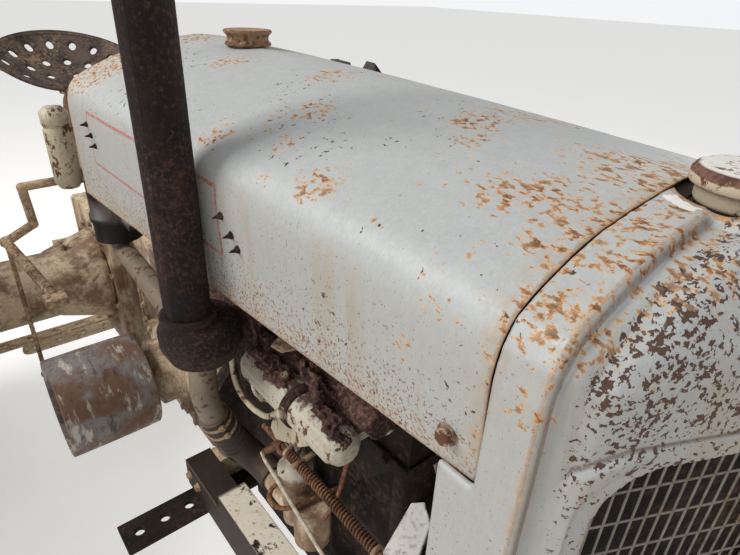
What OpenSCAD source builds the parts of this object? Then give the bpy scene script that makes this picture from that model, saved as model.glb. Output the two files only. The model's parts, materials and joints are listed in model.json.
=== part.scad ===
/* [Wheels and stance] */
// Distance between the front and the rear axle centres
wheelbase = 2030; // [2000:10:2100]
// Rear tyre diameter over the lugs
rear_tyre_d = 1220; // [1200:10:1260]
// Rear tyre width
rear_tyre_w = 245; // [230:5:280]
// Distance between the centres of the rear tyres
rear_tread = 1676; // [1520:10:1900]
// Front tyre diameter
front_tyre_d = 690; // [670:5:700]
// Front tyre width
front_tyre_w = 145; // [135:5:165]

/* [Hood and nose] */
// Half width of the hood at the nose seam
hood_front_half = 240; // [236:1:250]
// Half width of the hood at its rear end
hood_rear_half = 268; // [255:1:280]
// Crown height of the hood at the nose seam
crown_front_z = 1337; // [1330:1:1350]
// Rise of the crown from the nose seam to the rear end
crown_rise = 37; // [20:1:45]
// Angle by which each half of the grille sweeps back
grille_sweep = 26; // [24:1:28]
// Sheet thickness of the hood
hood_t = 3; // [2:0.5:5]

/* [Driveline] */
// Outside diameter of the rear axle housings
axle_tube_d = 203; // [180:1:220]
// Diameter of the belt pulley
pulley_d = 228; // [200:1:250]
// Width of the belt pulley face
pulley_w = 190; // [160:5:200]
// Outside diameter of the exhaust stack
stack_d = 60.3; // [48:0.1:64]
// Height of the stack's open end above the ground
stack_top_z = 1870; // [1750:10:2000]

/* [Steering] */
// Length of the two steering arms
steer_arm = 270; // [262:1:290]
// Diameter of the steering wheel
steering_wheel_d = 420; // [380:10:460]

/* [View] */
// Sub-part to draw, or all of them

/* [Hidden] */
$fn = 48;
fit = 0.05;
touch = 0.3;

rear_y = 851;
front_y = rear_y - wheelbase;
rear_z = rear_tyre_d / 2;
front_z = front_tyre_d / 2;
rear_rim_r = 355;
rear_rim_half = 97;
front_rim_r = 203;
front_rim_half = 54;

seam_y = -739;
hood_rear_y = 241;
hood_low_front_z = 1125;
hood_low_rear_z = 1086;
shell_rear_y = -701;
shell_low_z = 865;
shell_t = 7;
groove_y = -796;
nose_tip_y = -916;
window_u = [28, 220];
window_z = [905, 1177];
window_corner = 45;
window_margin = 20;

radiator_top_z = crown_front_z - 59;
radiator_neck_z = crown_front_z - 11;
tank_low_z = 1155;
tank_top_z = crown_front_z - 32;
cap_y = 31;
cap_z = crown_front_z + crown_rise / 2 + 7 + (crown_rise / 2 - 6) * (cap_y + 250) / (hood_rear_y + 250);

frame_x = 200;
rail_half = 30;
rail_low_z = 425;
rail_top_z = 545;
rail_step_y = -150;
rail_step_z = 500;
cross_bar_y = -32;

crank_z = 610;
belt_y = -618;
fan_z = 1000;
bell_z = 630;
block_top_z = 900;
head_top_z = 1010;
port_z = 955;
pod_x = -200;
pod_z = 967;
log_x = -158;
log_z = 998;
outlet_z = 1028;
bowl_x = -273;
stack_x = -287;
stack_y = -295;
stack_low_z = 1052;
carb_x = -165;
carb_y = -350;
carb_inlet_z = 665;
canister_x = -205;
canister_y = 312;
canister_r = 50;
canister_z = [950, 1110];

pulley_y = 215;
pulley_z = 621;
pulley_out_x = -428;
pulley_in_x = pulley_out_x + pulley_w;
case_top_z = 780;
raised_top_z = 884.7;
drive_top_z = 820;
drive_low_z = 390;
pto_z = 510;

arm_z = 860;
link_z = 846;
crown_low_z = front_tyre_d + 15;
crown_top_z = crown_low_z + 45;
bolster_top_z = 852;
steer_box_y = 340;
column_bottom = [0, 372, 950];
column_top = [0, 651, 1530];

seat_x = -50;
seat_r = 300;
seat_centre = [seat_x, 1166, 1430];
bar_low_z = 360;

paint_grey = [0.74, 0.74, 0.72];
paint_cream = [0.78, 0.71, 0.58];
rust_dark = [0.2, 0.13, 0.1];
rust_tan = [0.55, 0.4, 0.28];
iron_worn = [0.5, 0.43, 0.35];
steel_worn = [0.42, 0.38, 0.36];
black_dull = [0.1, 0.1, 0.1];

// Round bar between two points
module rod(a, b, r) {
    v = b - a;
    l = norm(v);
    translate(a)
        rotate([0, acos(v.z / l), atan2(v.y, v.x)])
            cylinder(h = l, r = r);
}

// Pipe or rod that follows a chain of points, with a ball at each bend
module run(points, r) {
    for (i = [0 : len(points) - 2])
        rod(points[i], points[i + 1], r);
    for (i = [1 : 1 : len(points) - 2])
        translate(points[i])
            sphere(r = r * 1.06);
}

// Block given by its lowest and highest corners
module block(lo, hi) {
    translate(lo)
        cube(hi - lo);
}

// Disc or short bar along the X axis between two x values
module bar_x(x0, x1, y, z, r) {
    translate([x0, y, z])
        rotate([0, 90, 0])
            cylinder(h = x1 - x0, r = r);
}

// Disc or short bar along the Y axis between two y values
module bar_y(y0, y1, x, z, r) {
    translate([x, y1, z])
        rotate([90, 0, 0])
            cylinder(h = y1 - y0, r = r);
}

// Lathe shape about the X axis from [radius, x] pairs
module turned_x(profile) {
    rotate([0, 90, 0])
        rotate_extrude($fn = 72)
            polygon(profile);
}

// Share of the half width, drop below the crown in front, drop at the rear
SECTION = [
    [0, 0, 0],
    [0.19, 4, 6],
    [0.39, 10, 16],
    [0.56, 17, 29],
    [0.7, 28, 42],
    [0.83, 42, 57],
    [0.933, 57, 72],
    [0.98, 77, 88],
    [1, 105, 116]
];

// y, half width, crown z, lower edge z, half width at the lower edge, share of the rear drop
HOOD_STATIONS = [
    [seam_y, hood_front_half, crown_front_z, hood_low_front_z, hood_front_half - 8, 0],
    [-250, (hood_front_half + hood_rear_half) / 2 + 2, crown_front_z + crown_rise / 2 + 6,
        (hood_low_front_z + hood_low_rear_z) / 2, (hood_front_half + hood_rear_half) / 2 - 3, 0.5],
    [hood_rear_y, hood_rear_half, crown_front_z + crown_rise, hood_low_rear_z, hood_rear_half, 1]
];

// Cross-section of one station as [x, z] points, moved inwards by inset and down to low
function hood_section(station, low, inset) =
    let (
        half = station[1] - inset,
        top = station[2] - inset,
        share = station[5],
        right = [for (s = SECTION) [s[0] * half, top - s[1] * (1 - share) - s[2] * share]],
        side = concat(right, [[station[4] - inset, low]]),
        left = [for (i = [len(side) - 1 : -1 : 1]) [-side[i].x, side[i].y]]
    )
    concat(side, left);

// Slab of one cross-section, standing across the tractor from y0 to y1
module section_slab(y0, y1, points) {
    translate([0, y1, 0])
        rotate([90, 0, 0])
            linear_extrude(y1 - y0)
                polygon(points);
}

// Solid under the hood's skin, from station to station
module hood_form(inset, low_drop, end_shift) {
    ends = [-end_shift, 0, end_shift];
    hull()
        for (i = [0 : 2]) {
            s = HOOD_STATIONS[i];
            y0 = min(max(s[0] + ends[i], seam_y - end_shift), hood_rear_y + end_shift - 1);
            section_slab(y0, y0 + 1, hood_section(s, s[3] - low_drop, inset));
        }
}

module hood() {
    lip_r = 5;
    color(paint_grey)
        union() {
            difference() {
                hood_form(0, 0, 0);
                hood_form(hood_t, 20, 10);
                translate([0, cap_y, crown_front_z - 40])
                    cylinder(h = 100, r = 32);
                translate([stack_x, stack_y, 1020])
                    cylinder(h = 120, r = 42);
            }
            for (side = [-1, 1])
                rod([side * (hood_front_half - 8 - lip_r), seam_y + 2, hood_low_front_z + 1],
                    [side * (hood_rear_half - lip_r), hood_rear_y - 2, hood_low_rear_z + 1], lip_r);
        }
}

// Plan of the nose as seen from above, moved inwards by inset
function nose_plan(inset) =
    let (
        half = hood_front_half - inset,
        tip = nose_tip_y + inset / cos(grille_sweep),
        corner_y = tip + half * tan(grille_sweep),
        r = 42,
        cx = half - r,
        cy = corner_y + r * tan(45 - grille_sweep / 2),
        arc = [for (i = [0 : 5]) let (a = -(90 - grille_sweep) * i / 5) [cx + r * cos(a), cy + r * sin(a)]],
        tip_r = 26,
        tip_c = tip + tip_r / cos(grille_sweep),
        nose_arc = [for (i = [0 : 4]) let (a = -90 + grille_sweep * (1 - i / 2)) [tip_r * cos(a), tip_c + tip_r * sin(a)]]
    )
    concat([[half, 0]], arc, nose_arc,
        [for (i = [5 : -1 : 0]) [-arc[i].x, arc[i].y]], [[-half, 0]]);

// Long bar whose front top edge is rounded, along one swept half of the nose
module nose_fold(side, inset) {
    r = 118 - inset;
    top = crown_front_z - inset + 6;
    front = -(nose_tip_y + inset / cos(grille_sweep)) * cos(grille_sweep);
    profile = concat([[-400, 0], [front, 0]],
        [for (i = [0 : 8]) let (a = i * 11.25) [front - r + r * cos(a), top - r + r * sin(a)]],
        [[-400, top]]);
    rotate([0, 0, side * grille_sweep])
        translate([800, 0, 0])
            rotate([90, 0, -90])
                linear_extrude(1600)
                    polygon(profile);
}

// Solid of the nose, moved inwards by inset
module nose_form(inset) {
    intersection() {
        section_slab(-1000, -600, hood_section(HOOD_STATIONS[0], 0, inset));
        linear_extrude(2000)
            polygon(nose_plan(inset));
        nose_fold(1, inset);
        nose_fold(-1, inset);
    }
}

// Outline of one grille half in its own plane, widened by margin
function window_plan(margin) =
    let (
        u0 = window_u[0] - min(margin, 16),
        u1 = window_u[1] + margin,
        z0 = window_z[0] - margin,
        z1 = window_z[1] + margin,
        r = window_corner + margin,
        arc = [for (i = [0 : 6]) [u1 - r + r * cos(i * 15), z1 - r + r * sin(i * 15)]]
    )
    concat([[u0, z0], [u1, z0]], arc, [[u0, z1]]);

// Prism over one half's window, from the front down to a depth below the nose's face
module grille_window(side, margin, depth) {
    tip_u = nose_tip_y * sin(grille_sweep);
    rotate([0, 0, side * grille_sweep])
        translate([0, nose_tip_y * cos(grille_sweep) + depth, 0])
            rotate([90, 0, 0])
                linear_extrude(depth + 20)
                    polygon([for (p = window_plan(margin)) [side * (tip_u + p.x), p.y]]);
}

module nose_shell() {
    recess = 3.5;
    // Width and depth of each step of the groove
    groove_steps = [[28, 2], [12, 4.5]];
    color(paint_grey)
        difference() {
            nose_form(0);
            nose_form(shell_t);
            for (step = groove_steps)
                difference() {
                    for (side = [-1, 1])
                        translate([side > 0 ? 62 : -362, groove_y - step[0] / 2, 0])
                            cube([300, step[0], 2000]);
                    nose_form(step[1]);
                }
            block([-400, -1000, 0], [400, 0, shell_low_z]);
            block([-400, shell_rear_y, 0], [400, 0, 2000]);
            block([-400, seam_y - touch, hood_low_front_z - 3], [400, 0, 2000]);
            for (side = [-1, 1]) {
                grille_window(side, 0, 60);
                grille_window(side, window_margin, recess);
            }
            translate([0, -788, 1200])
                cylinder(h = 200, r = 52);
        }
}

module grille() {
    pitch_x = 15.2;
    pitch_z = 56;
    web = 4;
    edge = 6;
    size_u = window_u[1] - window_u[0] + 2 * edge;
    tip_u = nose_tip_y * sin(grille_sweep) + window_u[0] - edge;
    inner_y = nose_tip_y * cos(grille_sweep) + shell_t + touch;
    color(steel_worn)
        for (side = [-1, 1])
            rotate([0, 0, side * grille_sweep])
                translate([side > 0 ? tip_u : -tip_u - size_u, inner_y, 0])
                    difference() {
                        block([0, 0, window_z[0] - edge], [size_u, 5, window_z[1] + edge]);
                        for (i = [0 : 12], j = [0 : 4])
                            translate([5 + i * pitch_x, -1, window_z[0] - 3 + j * pitch_z])
                                cube([pitch_x - web, 7, pitch_z - web]);
                    }
}

module radiator() {
    color(iron_worn)
        difference() {
            union() {
                block([-175, -800, 872], [175, -746, radiator_top_z - 38]);
                block([-165, -798, bolster_top_z + touch], [165, -748, 872]);
                block([hood_front_half * -1 + 8 + shell_t + touch, -770, 920],
                    [hood_front_half - 8 - shell_t - touch, -750, 960]);
                block([-150, -800, radiator_top_z - 38], [150, -746, radiator_top_z]);
                translate([0, -788, radiator_top_z - 5])
                    cylinder(h = radiator_neck_z - radiator_top_z + 5, r = 36);
            }
            translate([0, -788, radiator_neck_z - 25])
                cylinder(h = 30, r = 30);
        }
}

module radiator_cap() {
    color(paint_cream)
        translate([0, -788, radiator_neck_z + touch])
            rotate_extrude()
                polygon([[0, 0], [42, 0], [44, 3], [46, 14], [46, 26], [43, 31], [0, 31]]);
}

module upper_hose() {
    color(black_dull)
        run([[0, -570, 1045 + touch], [0, -570, 1190], [0, -630, radiator_top_z - 18],
            [0, -746 + touch, radiator_top_z - 18]], 22);
}

module fuel_tank() {
    color(paint_grey)
        union() {
            difference() {
                block([-205, -190, tank_low_z], [205, 190, tank_top_z]);
                for (side = [-1, 1])
                    translate([side * 205, 0, tank_top_z])
                        rotate([0, 45, 0])
                            cube([50, 400, 50], center = true);
            }
            block([-30, -150, 1080 + touch], [30, -110, tank_low_z]);
            translate([0, cap_y, tank_top_z - 5])
                cylinder(h = cap_z - tank_top_z + 5, r = 28);
        }
}

module fuel_cap() {
    color(rust_tan)
        translate([0, cap_y, cap_z + touch])
            rotate_extrude()
                polygon([[0, 0], [40, 0], [41, 3], [37, 8], [36, 13], [38, 18], [42, 21], [42.5, 24], [40, 26], [0, 26]]);
}

module engine_block() {
    // Heights of the long flanges along the block's sides
    flange_z = [540, 700, block_top_z - 16];
    color(rust_dark)
        union() {
            block([-114, -560, 540], [114, -60, block_top_z]);
            for (z = flange_z)
                block([-120, -560, z], [120, -60, z + 16]);
            for (y = [-560, -394, -228, -84])
                block([-120, y, 540], [120, y + 24, block_top_z]);
            bar_y(-60, -30 - touch, 0, bell_z, 190);
            block([-100, -592, 520], [100, -560, 820]);
            block([-frame_x + rail_half + touch, -590, 480], [frame_x - rail_half - touch, -550, 540]);
            bar_y(-632, -592, 0, crank_z, 67.7);
        }
}

module cylinder_head() {
    color(rust_dark)
        union() {
            block([-112, -556, block_top_z], [112, -70, head_top_z]);
            block([-80, -540, head_top_z], [80, -90, head_top_z + 8]);
            bar_y(-535, -95, 0, 1006, 66);
            block([-45, -594, 920], [45, -540, 1045]);
            block([-30, -150, head_top_z], [30, -110, 1080]);
            bar_y(-636, -590, 0, fan_z, 15);
        }
}

module oil_pan() {
    color(rust_dark)
        union() {
            block([-105, -549, 400], [105, -75, 540 - touch]);
            block([-122, -549, 528], [122, -75, 540 - touch]);
            block([-80, -400, 372], [80, -75, 400]);
        }
}

module intake_manifold() {
    port_y = [-500, carb_y];
    // Radius and y along the pod
    pod = [[0, -540], [13, -538], [22, -531], [28, -517], [28, -313], [22, -299], [13, -292], [0, -290]];
    color(paint_cream)
        union() {
            translate([pod_x, 0, pod_z])
                rotate([-90, 0, 0])
                    rotate_extrude()
                        polygon(pod);
            for (y = port_y) {
                bar_x(pod_x, -112 - touch, y, port_z, 15);
                bar_x(-122, -112 - touch, y, port_z, 26);
            }
            translate([carb_x, carb_y, 752 + touch])
                cylinder(h = port_z + 8 - 752 - touch, r = 17);
            translate([carb_x, carb_y, 752 + touch])
                cylinder(h = 10, r = 30);
        }
}

module exhaust_manifold() {
    port_y = [-530, -430, -240, -120];
    color(rust_dark)
        union() {
            bar_y(-548, -102, log_x, log_z, 22);
            for (y = port_y) {
                bar_x(log_x, -112 - touch, y, log_z - 8, 17);
                bar_x(-121, -112 - touch, y, log_z - 8, 19.5);
            }
            translate([log_x, stack_y, log_z])
                cylinder(h = 54, r = 27);
            bar_x(-212, log_x, stack_y, outlet_z, 23);
            bar_x(-213, -205, stack_y, outlet_z, 32);
        }
}

module exhaust_elbow() {
    color(rust_dark)
        difference() {
            union() {
                translate([bowl_x, stack_y, 998])
                    rotate_extrude()
                        polygon([[0, 0], [28, 0], [46, 12], [56, 36], [56, 58], [46, 72], [0, 72]]);
                translate([stack_x, stack_y, 1040])
                    cylinder(h = 36, r = 37);
                bar_x(bowl_x, -213 - touch, stack_y, outlet_z, 25);
                bar_x(-222, -213 - touch, stack_y, outlet_z, 32);
            }
            translate([stack_x, stack_y, stack_low_z])
                cylinder(h = 60, r = stack_d / 2 + fit);
        }
}

module exhaust_stack() {
    color(rust_dark)
        translate([stack_x, stack_y, stack_low_z + touch])
            difference() {
                cylinder(h = stack_top_z - stack_low_z - touch, r = stack_d / 2);
                translate([0, 0, 20])
                    cylinder(h = stack_top_z, r = stack_d / 2 - 3);
            }
}

module carburettor() {
    color(iron_worn)
        union() {
            translate([carb_x, carb_y, 640])
                cylinder(h = 112, r = 24);
            translate([carb_x, carb_y, 742])
                cylinder(h = 10, r = 30);
            block([carb_x - 16, carb_y - 48, 652], [carb_x + 16, carb_y, 700]);
            translate([carb_x, carb_y - 48, 636])
                cylinder(h = 79, r = 31);
            bar_y(carb_y, -275, carb_x, carb_inlet_z, 22);
        }
}

module air_cleaner() {
    color(black_dull)
        union() {
            translate([canister_x, canister_y, canister_z[0]])
                cylinder(h = canister_z[1] - canister_z[0], r = canister_r);
            translate([canister_x, canister_y, canister_z[0] + 45])
                cylinder(h = 14, r = canister_r + 4);
            block([canister_x - 10, 190, 1004], [canister_x + 10, canister_y - 20, 1016]);
            block([canister_x - 10, 190, 1004], [-60 - touch, 222, 1016]);
        }
}

module pre_cleaner() {
    pre_x = -282;
    color(paint_cream)
        difference() {
            union() {
                translate([pre_x, canister_y, 1080])
                    rotate_extrude()
                        polygon([[0, 0], [18, 0], [26, 12], [26, 118], [23, 124], [26, 130], [26, 152], [16, 162], [0, 162]]);
                bar_x(pre_x, canister_x, canister_y, 1096, 12);
            }
            translate([canister_x, canister_y, canister_z[0] - 50])
                cylinder(h = canister_z[1] - canister_z[0] + 100, r = canister_r + touch);
        }
}

// Chain of points along the middle of the intake pipe, from the air cleaner forwards and down
PIPE = [[canister_x, canister_y, canister_z[0] - touch], [canister_x, canister_y, 918],
    [-217, 60, 922], [-234, -185, 924], [-246, -209, 896], [-250, -209, 850], [-238, -209, 810]];

module air_pipe() {
    color(steel_worn)
        run(PIPE, 22.5);
}

module air_hose() {
    last = PIPE[6];
    way = (last - PIPE[5]) / norm(last - PIPE[5]);
    color(black_dull)
        run([last + way * touch, last + way * 46, [-184, -209, 692], [carb_x, -232, carb_inlet_z],
            [carb_x, -275 + touch, carb_inlet_z]], 27);
}

module governor_linkage() {
    rod_z = 848;
    color(rust_tan)
        union() {
            bar_y(-640, -318, pod_x, rod_z, 5);
            bar_y(-593, -394, pod_x, rod_z, 7.8);
            block([pod_x - 7, -322, rod_z - 6], [-114 - touch, -314, rod_z + 6]);
            translate([pod_x, -640, rail_top_z + touch])
                cylinder(h = rod_z + 8 - rail_top_z - touch, r = 7);
            translate([pod_x, -640, rail_top_z + touch])
                cylinder(h = 14, r = 18);
            run([[-114 - touch, -301, 756], [pod_x, -301, 756], [pod_x, -485, 722], [-114 - touch, -485, 722]], 3.5);
        }
}

module fan() {
    blades = 4;
    color(steel_worn)
        union() {
            difference() {
                bar_y(-690, -600, 0, fan_z, 50);
                bar_y(belt_y - 8, belt_y + 8, 0, fan_z, 60);
                bar_y(-640, -590, 0, fan_z, 15 + fit);
            }
            difference() {
                bar_y(belt_y - 9, belt_y + 9, 0, fan_z, 38);
                bar_y(-640, -590, 0, fan_z, 15 + fit);
            }
            for (i = [0 : blades - 1])
                translate([0, -672, fan_z])
                    rotate([0, i * 360 / blades, 0])
                        rotate([0, 0, 28])
                            translate([-40, -2, 20])
                                cube([80, 4, 160]);
        }
}

// Loop between the crank pulley and the fan pulley
module fan_belt() {
    top_r = 38 + touch;
    low_r = 68;
    color(black_dull)
        translate([0, belt_y + 6, 0])
            rotate([90, 0, 0])
                linear_extrude(12)
                    difference() {
                        hull() {
                            translate([0, fan_z])
                                circle(r = top_r + 8);
                            translate([0, crank_z])
                                circle(r = low_r + 8);
                        }
                        hull() {
                            translate([0, fan_z])
                                circle(r = top_r);
                            translate([0, crank_z])
                                circle(r = low_r);
                        }
                    }
}

module starter_motor() {
    color(rust_dark)
        union() {
            bar_y(-290, -60 - touch, 172, 640, 48);
            bar_y(-270, -130, 172, 716, 26);
            block([164, -260, 640], [180, -140, 716]);
        }
}

module magneto() {
    color(iron_worn)
        union() {
            block([120 + touch, -480, 640], [185, -380, 760]);
            bar_y(-500, -380, 160, 750, 34);
            bar_y(-520, -480, 160, 700, 22);
        }
}

module transmission_case() {
    // Places of the ribs across the case
    rib_y = [196, 344, 492, 622];
    color(iron_worn)
        union() {
            bar_y(-30, -6, 0, bell_z, 190);
            bar_y(-6, 112, 0, bell_z, 176);
            block([-134, 100, 420], [134, 640, case_top_z]);
            for (y = rib_y)
                block([-140, y, 420], [140, y + 14, case_top_z - 8]);
            block([-140, 100, case_top_z - 18], [140, 640, case_top_z]);
            block([-60, 150, case_top_z - 10], [60, 235, tank_low_z - touch]);
            block([-134, 235, case_top_z - 10], [-46, 640, raised_top_z]);
            block([-140, 463, 500], [-46, 477, raised_top_z]);
            block([-frame_x + rail_half + touch, -28, 440], [frame_x - rail_half - touch, 20, rail_step_z]);
        }
}

module final_drive() {
    cone_x = [158, 300];
    tube_r = axle_tube_d / 2;
    bearing_x = rear_tread / 2 - 218;
    color(iron_worn)
        difference() {
            union() {
                block([-154, 640, drive_low_z], [154, 1040, drive_top_z]);
                block([-160, 640, drive_low_z + 12], [160, 656, drive_top_z - 6]);
                block([-160, 1022, drive_low_z + 12], [160, 1040, drive_top_z - 6]);
                bar_x(-bearing_x, bearing_x, rear_y, rear_z, tube_r);
                for (side = [-1, 1]) {
                    translate([side * cone_x[0], rear_y, rear_z])
                        rotate([0, side * 90, 0])
                            cylinder(h = cone_x[1] - cone_x[0], r1 = 150, r2 = tube_r + 3);
                    translate([side * (bearing_x - 35), rear_y, rear_z])
                        rotate([0, side * 90, 0])
                            cylinder(h = 35, r = 125);
                    translate([side * 208, 865, rear_z + 52])
                        cube([104, 130, 116], center = true);
                }
                bar_y(1040, 1054, 0, pto_z, 60);
            }
            for (side = [-1, 1]) {
                translate([side * (bearing_x - 120), rear_y, rear_z])
                    rotate([0, side * 90, 0])
                        cylinder(h = 200, r = 45 + fit);
                translate([side * 208, 865, rear_z + 110])
                    cube([80, 106, 24], center = true);
            }
            bar_y(990, 1100, 0, pto_z, 22 + fit);
        }
}

module pulley_gearbox() {
    color(iron_worn)
        difference() {
            union() {
                block([-180, 120, 540], [-140 - touch, 310, 710]);
                bar_x(-212, -150, pulley_y, pulley_z, 80);
                bar_x(-226, -212, pulley_y, pulley_z, 60);
            }
            bar_x(-260, -160, pulley_y, pulley_z, 25 + fit);
        }
}

module belt_pulley() {
    out_r = pulley_d / 2;
    web_x = pulley_in_x - 60;
    color(rust_tan)
        translate([0, pulley_y, pulley_z])
            union() {
                turned_x([[out_r - 12, pulley_out_x], [out_r - 3, pulley_out_x],
                    [out_r, (pulley_in_x + pulley_out_x) / 2], [out_r - 3, pulley_in_x], [out_r - 12, pulley_in_x]]);
                turned_x([[0, web_x], [out_r - 10, web_x], [out_r - 10, web_x + 12], [0, web_x + 12]]);
                turned_x([[0, web_x - 30], [45, web_x - 30], [45, pulley_in_x + 6], [25, pulley_in_x + 6],
                    [25, -165], [0, -165]]);
            }
}

module frame_rails() {
    web = 10;
    color(rust_tan)
        for (side = [-1, 1])
            translate([side * frame_x, 0, 0])
                difference() {
                    block([-rail_half, -800, rail_low_z], [rail_half, 25, rail_top_z]);
                    block([-rail_half - 1, rail_step_y, rail_step_z], [rail_half + 1, 26, rail_top_z + 1]);
                    block([side > 0 ? -rail_half - 1 : -rail_half + web, -790, rail_low_z + web],
                        [side > 0 ? rail_half - web : rail_half + 1, rail_step_y - web, rail_top_z - web]);
                    block([side > 0 ? -rail_half - 1 : -rail_half + web, rail_step_y, rail_low_z + web],
                        [side > 0 ? rail_half - web : rail_half + 1, 15, rail_step_z - web]);
                }
}

module front_bolster() {
    boss_low_z = crown_top_z + 6;
    // Room round the tyre, also where it turns
    well_x = front_tyre_w / 2 + 60;
    well_r = front_tyre_d / 2 + 25;
    color(iron_worn)
        difference() {
            union() {
                block([-frame_x + rail_half + touch, -800, 430], [frame_x - rail_half - touch, -715, 540]);
                block([-150, -800, 540], [150, -715, bolster_top_z]);
                translate([0, 0, boss_low_z])
                    linear_extrude(bolster_top_z - boss_low_z)
                        polygon([[-62, front_y], [62, front_y], [120, -795], [-120, -795]]);
                translate([0, front_y, boss_low_z])
                    cylinder(h = bolster_top_z - boss_low_z, r = 75);
            }
            translate([0, front_y, 600])
                cylinder(h = 300, r = 35 + fit);
            block([-100, -760, 420], [100, -700, 780]);
            bar_x(-well_x, well_x, front_y, front_z, well_r);
            for (side = [-1, 1])
                block([side > 0 ? 24 : -80, front_y + 120, boss_low_z - 1], [side > 0 ? 80 : -24, -830, bolster_top_z - 24]);
        }
}

module front_fork() {
    leg_x = front_tyre_w / 2 + 20;
    leg_t = 22;
    color(iron_worn)
        union() {
            translate([0, front_y, crown_low_z])
                cylinder(h = crown_top_z - crown_low_z, r = 70);
            block([-leg_x - leg_t, front_y - 48, crown_low_z], [leg_x + leg_t, front_y + 48, crown_top_z - 8]);
            for (side = [-1, 1]) {
                translate([side > 0 ? leg_x : -leg_x - leg_t, front_y, 0])
                    rotate([90, 0, 90])
                        linear_extrude(leg_t)
                            polygon([[-24, front_z], [24, front_z], [42, crown_low_z + 5], [-42, crown_low_z + 5]]);
                translate([side > 0 ? leg_x : -leg_x - leg_t, front_y, front_z])
                    rotate([0, 90, 0])
                        cylinder(h = leg_t, r = 40);
            }
            bar_x(-leg_x - leg_t - 14, leg_x + leg_t + 14, front_y, front_z, 16);
            translate([0, front_y, crown_top_z - 1])
                cylinder(h = arm_z + 14 - crown_top_z, r = 35);
            translate([0, front_y, arm_z - 2])
                cylinder(h = 22, r = 50);
            steer_lever(front_y);
        }
}

// Arm with its downward pin, reaching to the tractor's left from the pivot at y
module steer_lever(y) {
    block([0, y - 18, arm_z], [steer_arm, y + 18, arm_z + 16]);
    translate([steer_arm, y, arm_z])
        cylinder(h = 16, r = 24);
    translate([steer_arm, y, link_z - 14])
        cylinder(h = 36, r = 9);
}

module front_rim() {
    hub_half = front_tyre_w / 2 + 12;
    seat_in = front_rim_half - 24;
    color(rust_tan)
        translate([0, front_y, front_z])
            union() {
                turned_x([[180, -front_rim_half - 4], [214, -front_rim_half - 8], [214, -front_rim_half - 1],
                    [front_rim_r, -front_rim_half], [front_rim_r, -seat_in], [190, -seat_in + 8], [190, seat_in - 8],
                    [front_rim_r, seat_in], [front_rim_r, front_rim_half], [214, front_rim_half + 1],
                    [214, front_rim_half + 8], [180, front_rim_half + 4], [178, 22], [178, -22]]);
                turned_x([[50, -10], [185, -4], [185, 4], [50, 10]]);
                turned_x([[16 + fit, -hub_half], [44, -hub_half], [54, -20], [54, 20], [44, hub_half], [16 + fit, hub_half]]);
            }
}

// Closed ring about the X axis from rows of [x, radius, angle], one row for each step round
module ring_mesh(rows) {
    n = len(rows);
    m = len(rows[0]);
    points = [for (row = rows, p = row) [p.x, p.y * cos(p.z), p.y * sin(p.z)]];
    faces = [for (i = [0 : n - 1], j = [0 : m - 1])
        let (
            a = i * m + j,
            b = i * m + (j + 1) % m,
            c = ((i + 1) % n) * m + (j + 1) % m,
            d = ((i + 1) % n) * m + j
        )
        each [[a, c, b], [a, d, c]]];
    polyhedron(points = points, faces = faces);
}

module front_tyre() {
    steps = 32;
    half = front_tyre_w / 2;
    r = front_tyre_d / 2;
    bead = (front_rim_r + touch) / cos(180 / steps);
    // x, radius on one side, from the bead over the sidewall and the shoulder rib to the middle rib
    side = [[front_rim_half - touch, bead], [front_rim_half - touch, 217], [front_rim_half + 9, 224], [half, 262],
        [half - 6, r - 36], [half - 21, r - 16], [half - 36, r - 10], [half - 41, r - 17], [14, r - 15], [10, r]];
    ring = concat([for (p = side) [-p.x, p.y]], [for (i = [len(side) - 1 : -1 : 0]) side[i]]);
    color(black_dull)
        translate([0, front_y, front_z])
            ring_mesh([for (i = [0 : steps - 1]) [for (p = ring) [p.x, p.y, i * 360 / steps]]]);
}

// Angle of step i on a side whose lugs start shift steps earlier, swept by phase
function lug_angle(i, shift, phase, pitch, ends) =
    let (j = i + shift)
    (floor(j / 4) * pitch + ends[j % 4] - shift * pitch / 4) + phase;

// One row round the rear tyre: the sidewalls run evenly, the tread follows the slanted lugs
function tyre_row(i, lugs) =
    let (
        half = rear_tyre_w / 2,
        r = rear_tyre_d / 2,
        pitch = 360 / lugs,
        sweep = 10,
        ends = [pitch * 0.19, pitch * 0.25, pitch * 0.5, pitch * 0.56],
        even = i * pitch / 4,
        bead = (rear_rim_r + touch) / cos(pitch / 8),
        walls = [[rear_rim_half - touch, bead], [rear_rim_half - touch, 374], [half - 14, 386], [half, r - 140], [half - 4, r - 62]],
        left = lug_tread(i, 0, sweep, pitch, ends, half, r),
        right = lug_tread(i, 2, sweep, pitch, ends, half, r)
    )
    concat(
        [for (p = walls) [-p.x, p.y, even]],
        [for (p = left) [-p.x, p.y, p.z]],
        [for (k = [2 : -1 : 0]) right[k]],
        [for (k = [4 : -1 : 0]) [walls[k].x, walls[k].y, even]]
    );

// Three points across one side's tread: outer lug end, inner lug end, and the carcass between the sides
function lug_tread(i, shift, sweep, pitch, ends, half, r) =
    let (
        role = (i + shift) % 4,
        high = role == 1 || role == 2,
        inner = lug_angle(i, shift, sweep / 2, pitch, ends),
        outer = lug_angle(i, shift, -sweep / 2, pitch, ends)
    )
    [[half - 12, high ? r - 8 : r - 36, outer], [12, high ? r : r - 30, inner], [3, r - 30, inner]];

module rear_tyre(side) {
    lugs = 18;
    color(black_dull)
        translate([side * rear_tread / 2, rear_y, rear_z])
            ring_mesh([for (i = [0 : lugs * 4 - 1]) tyre_row(i, lugs)]);
}

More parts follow.
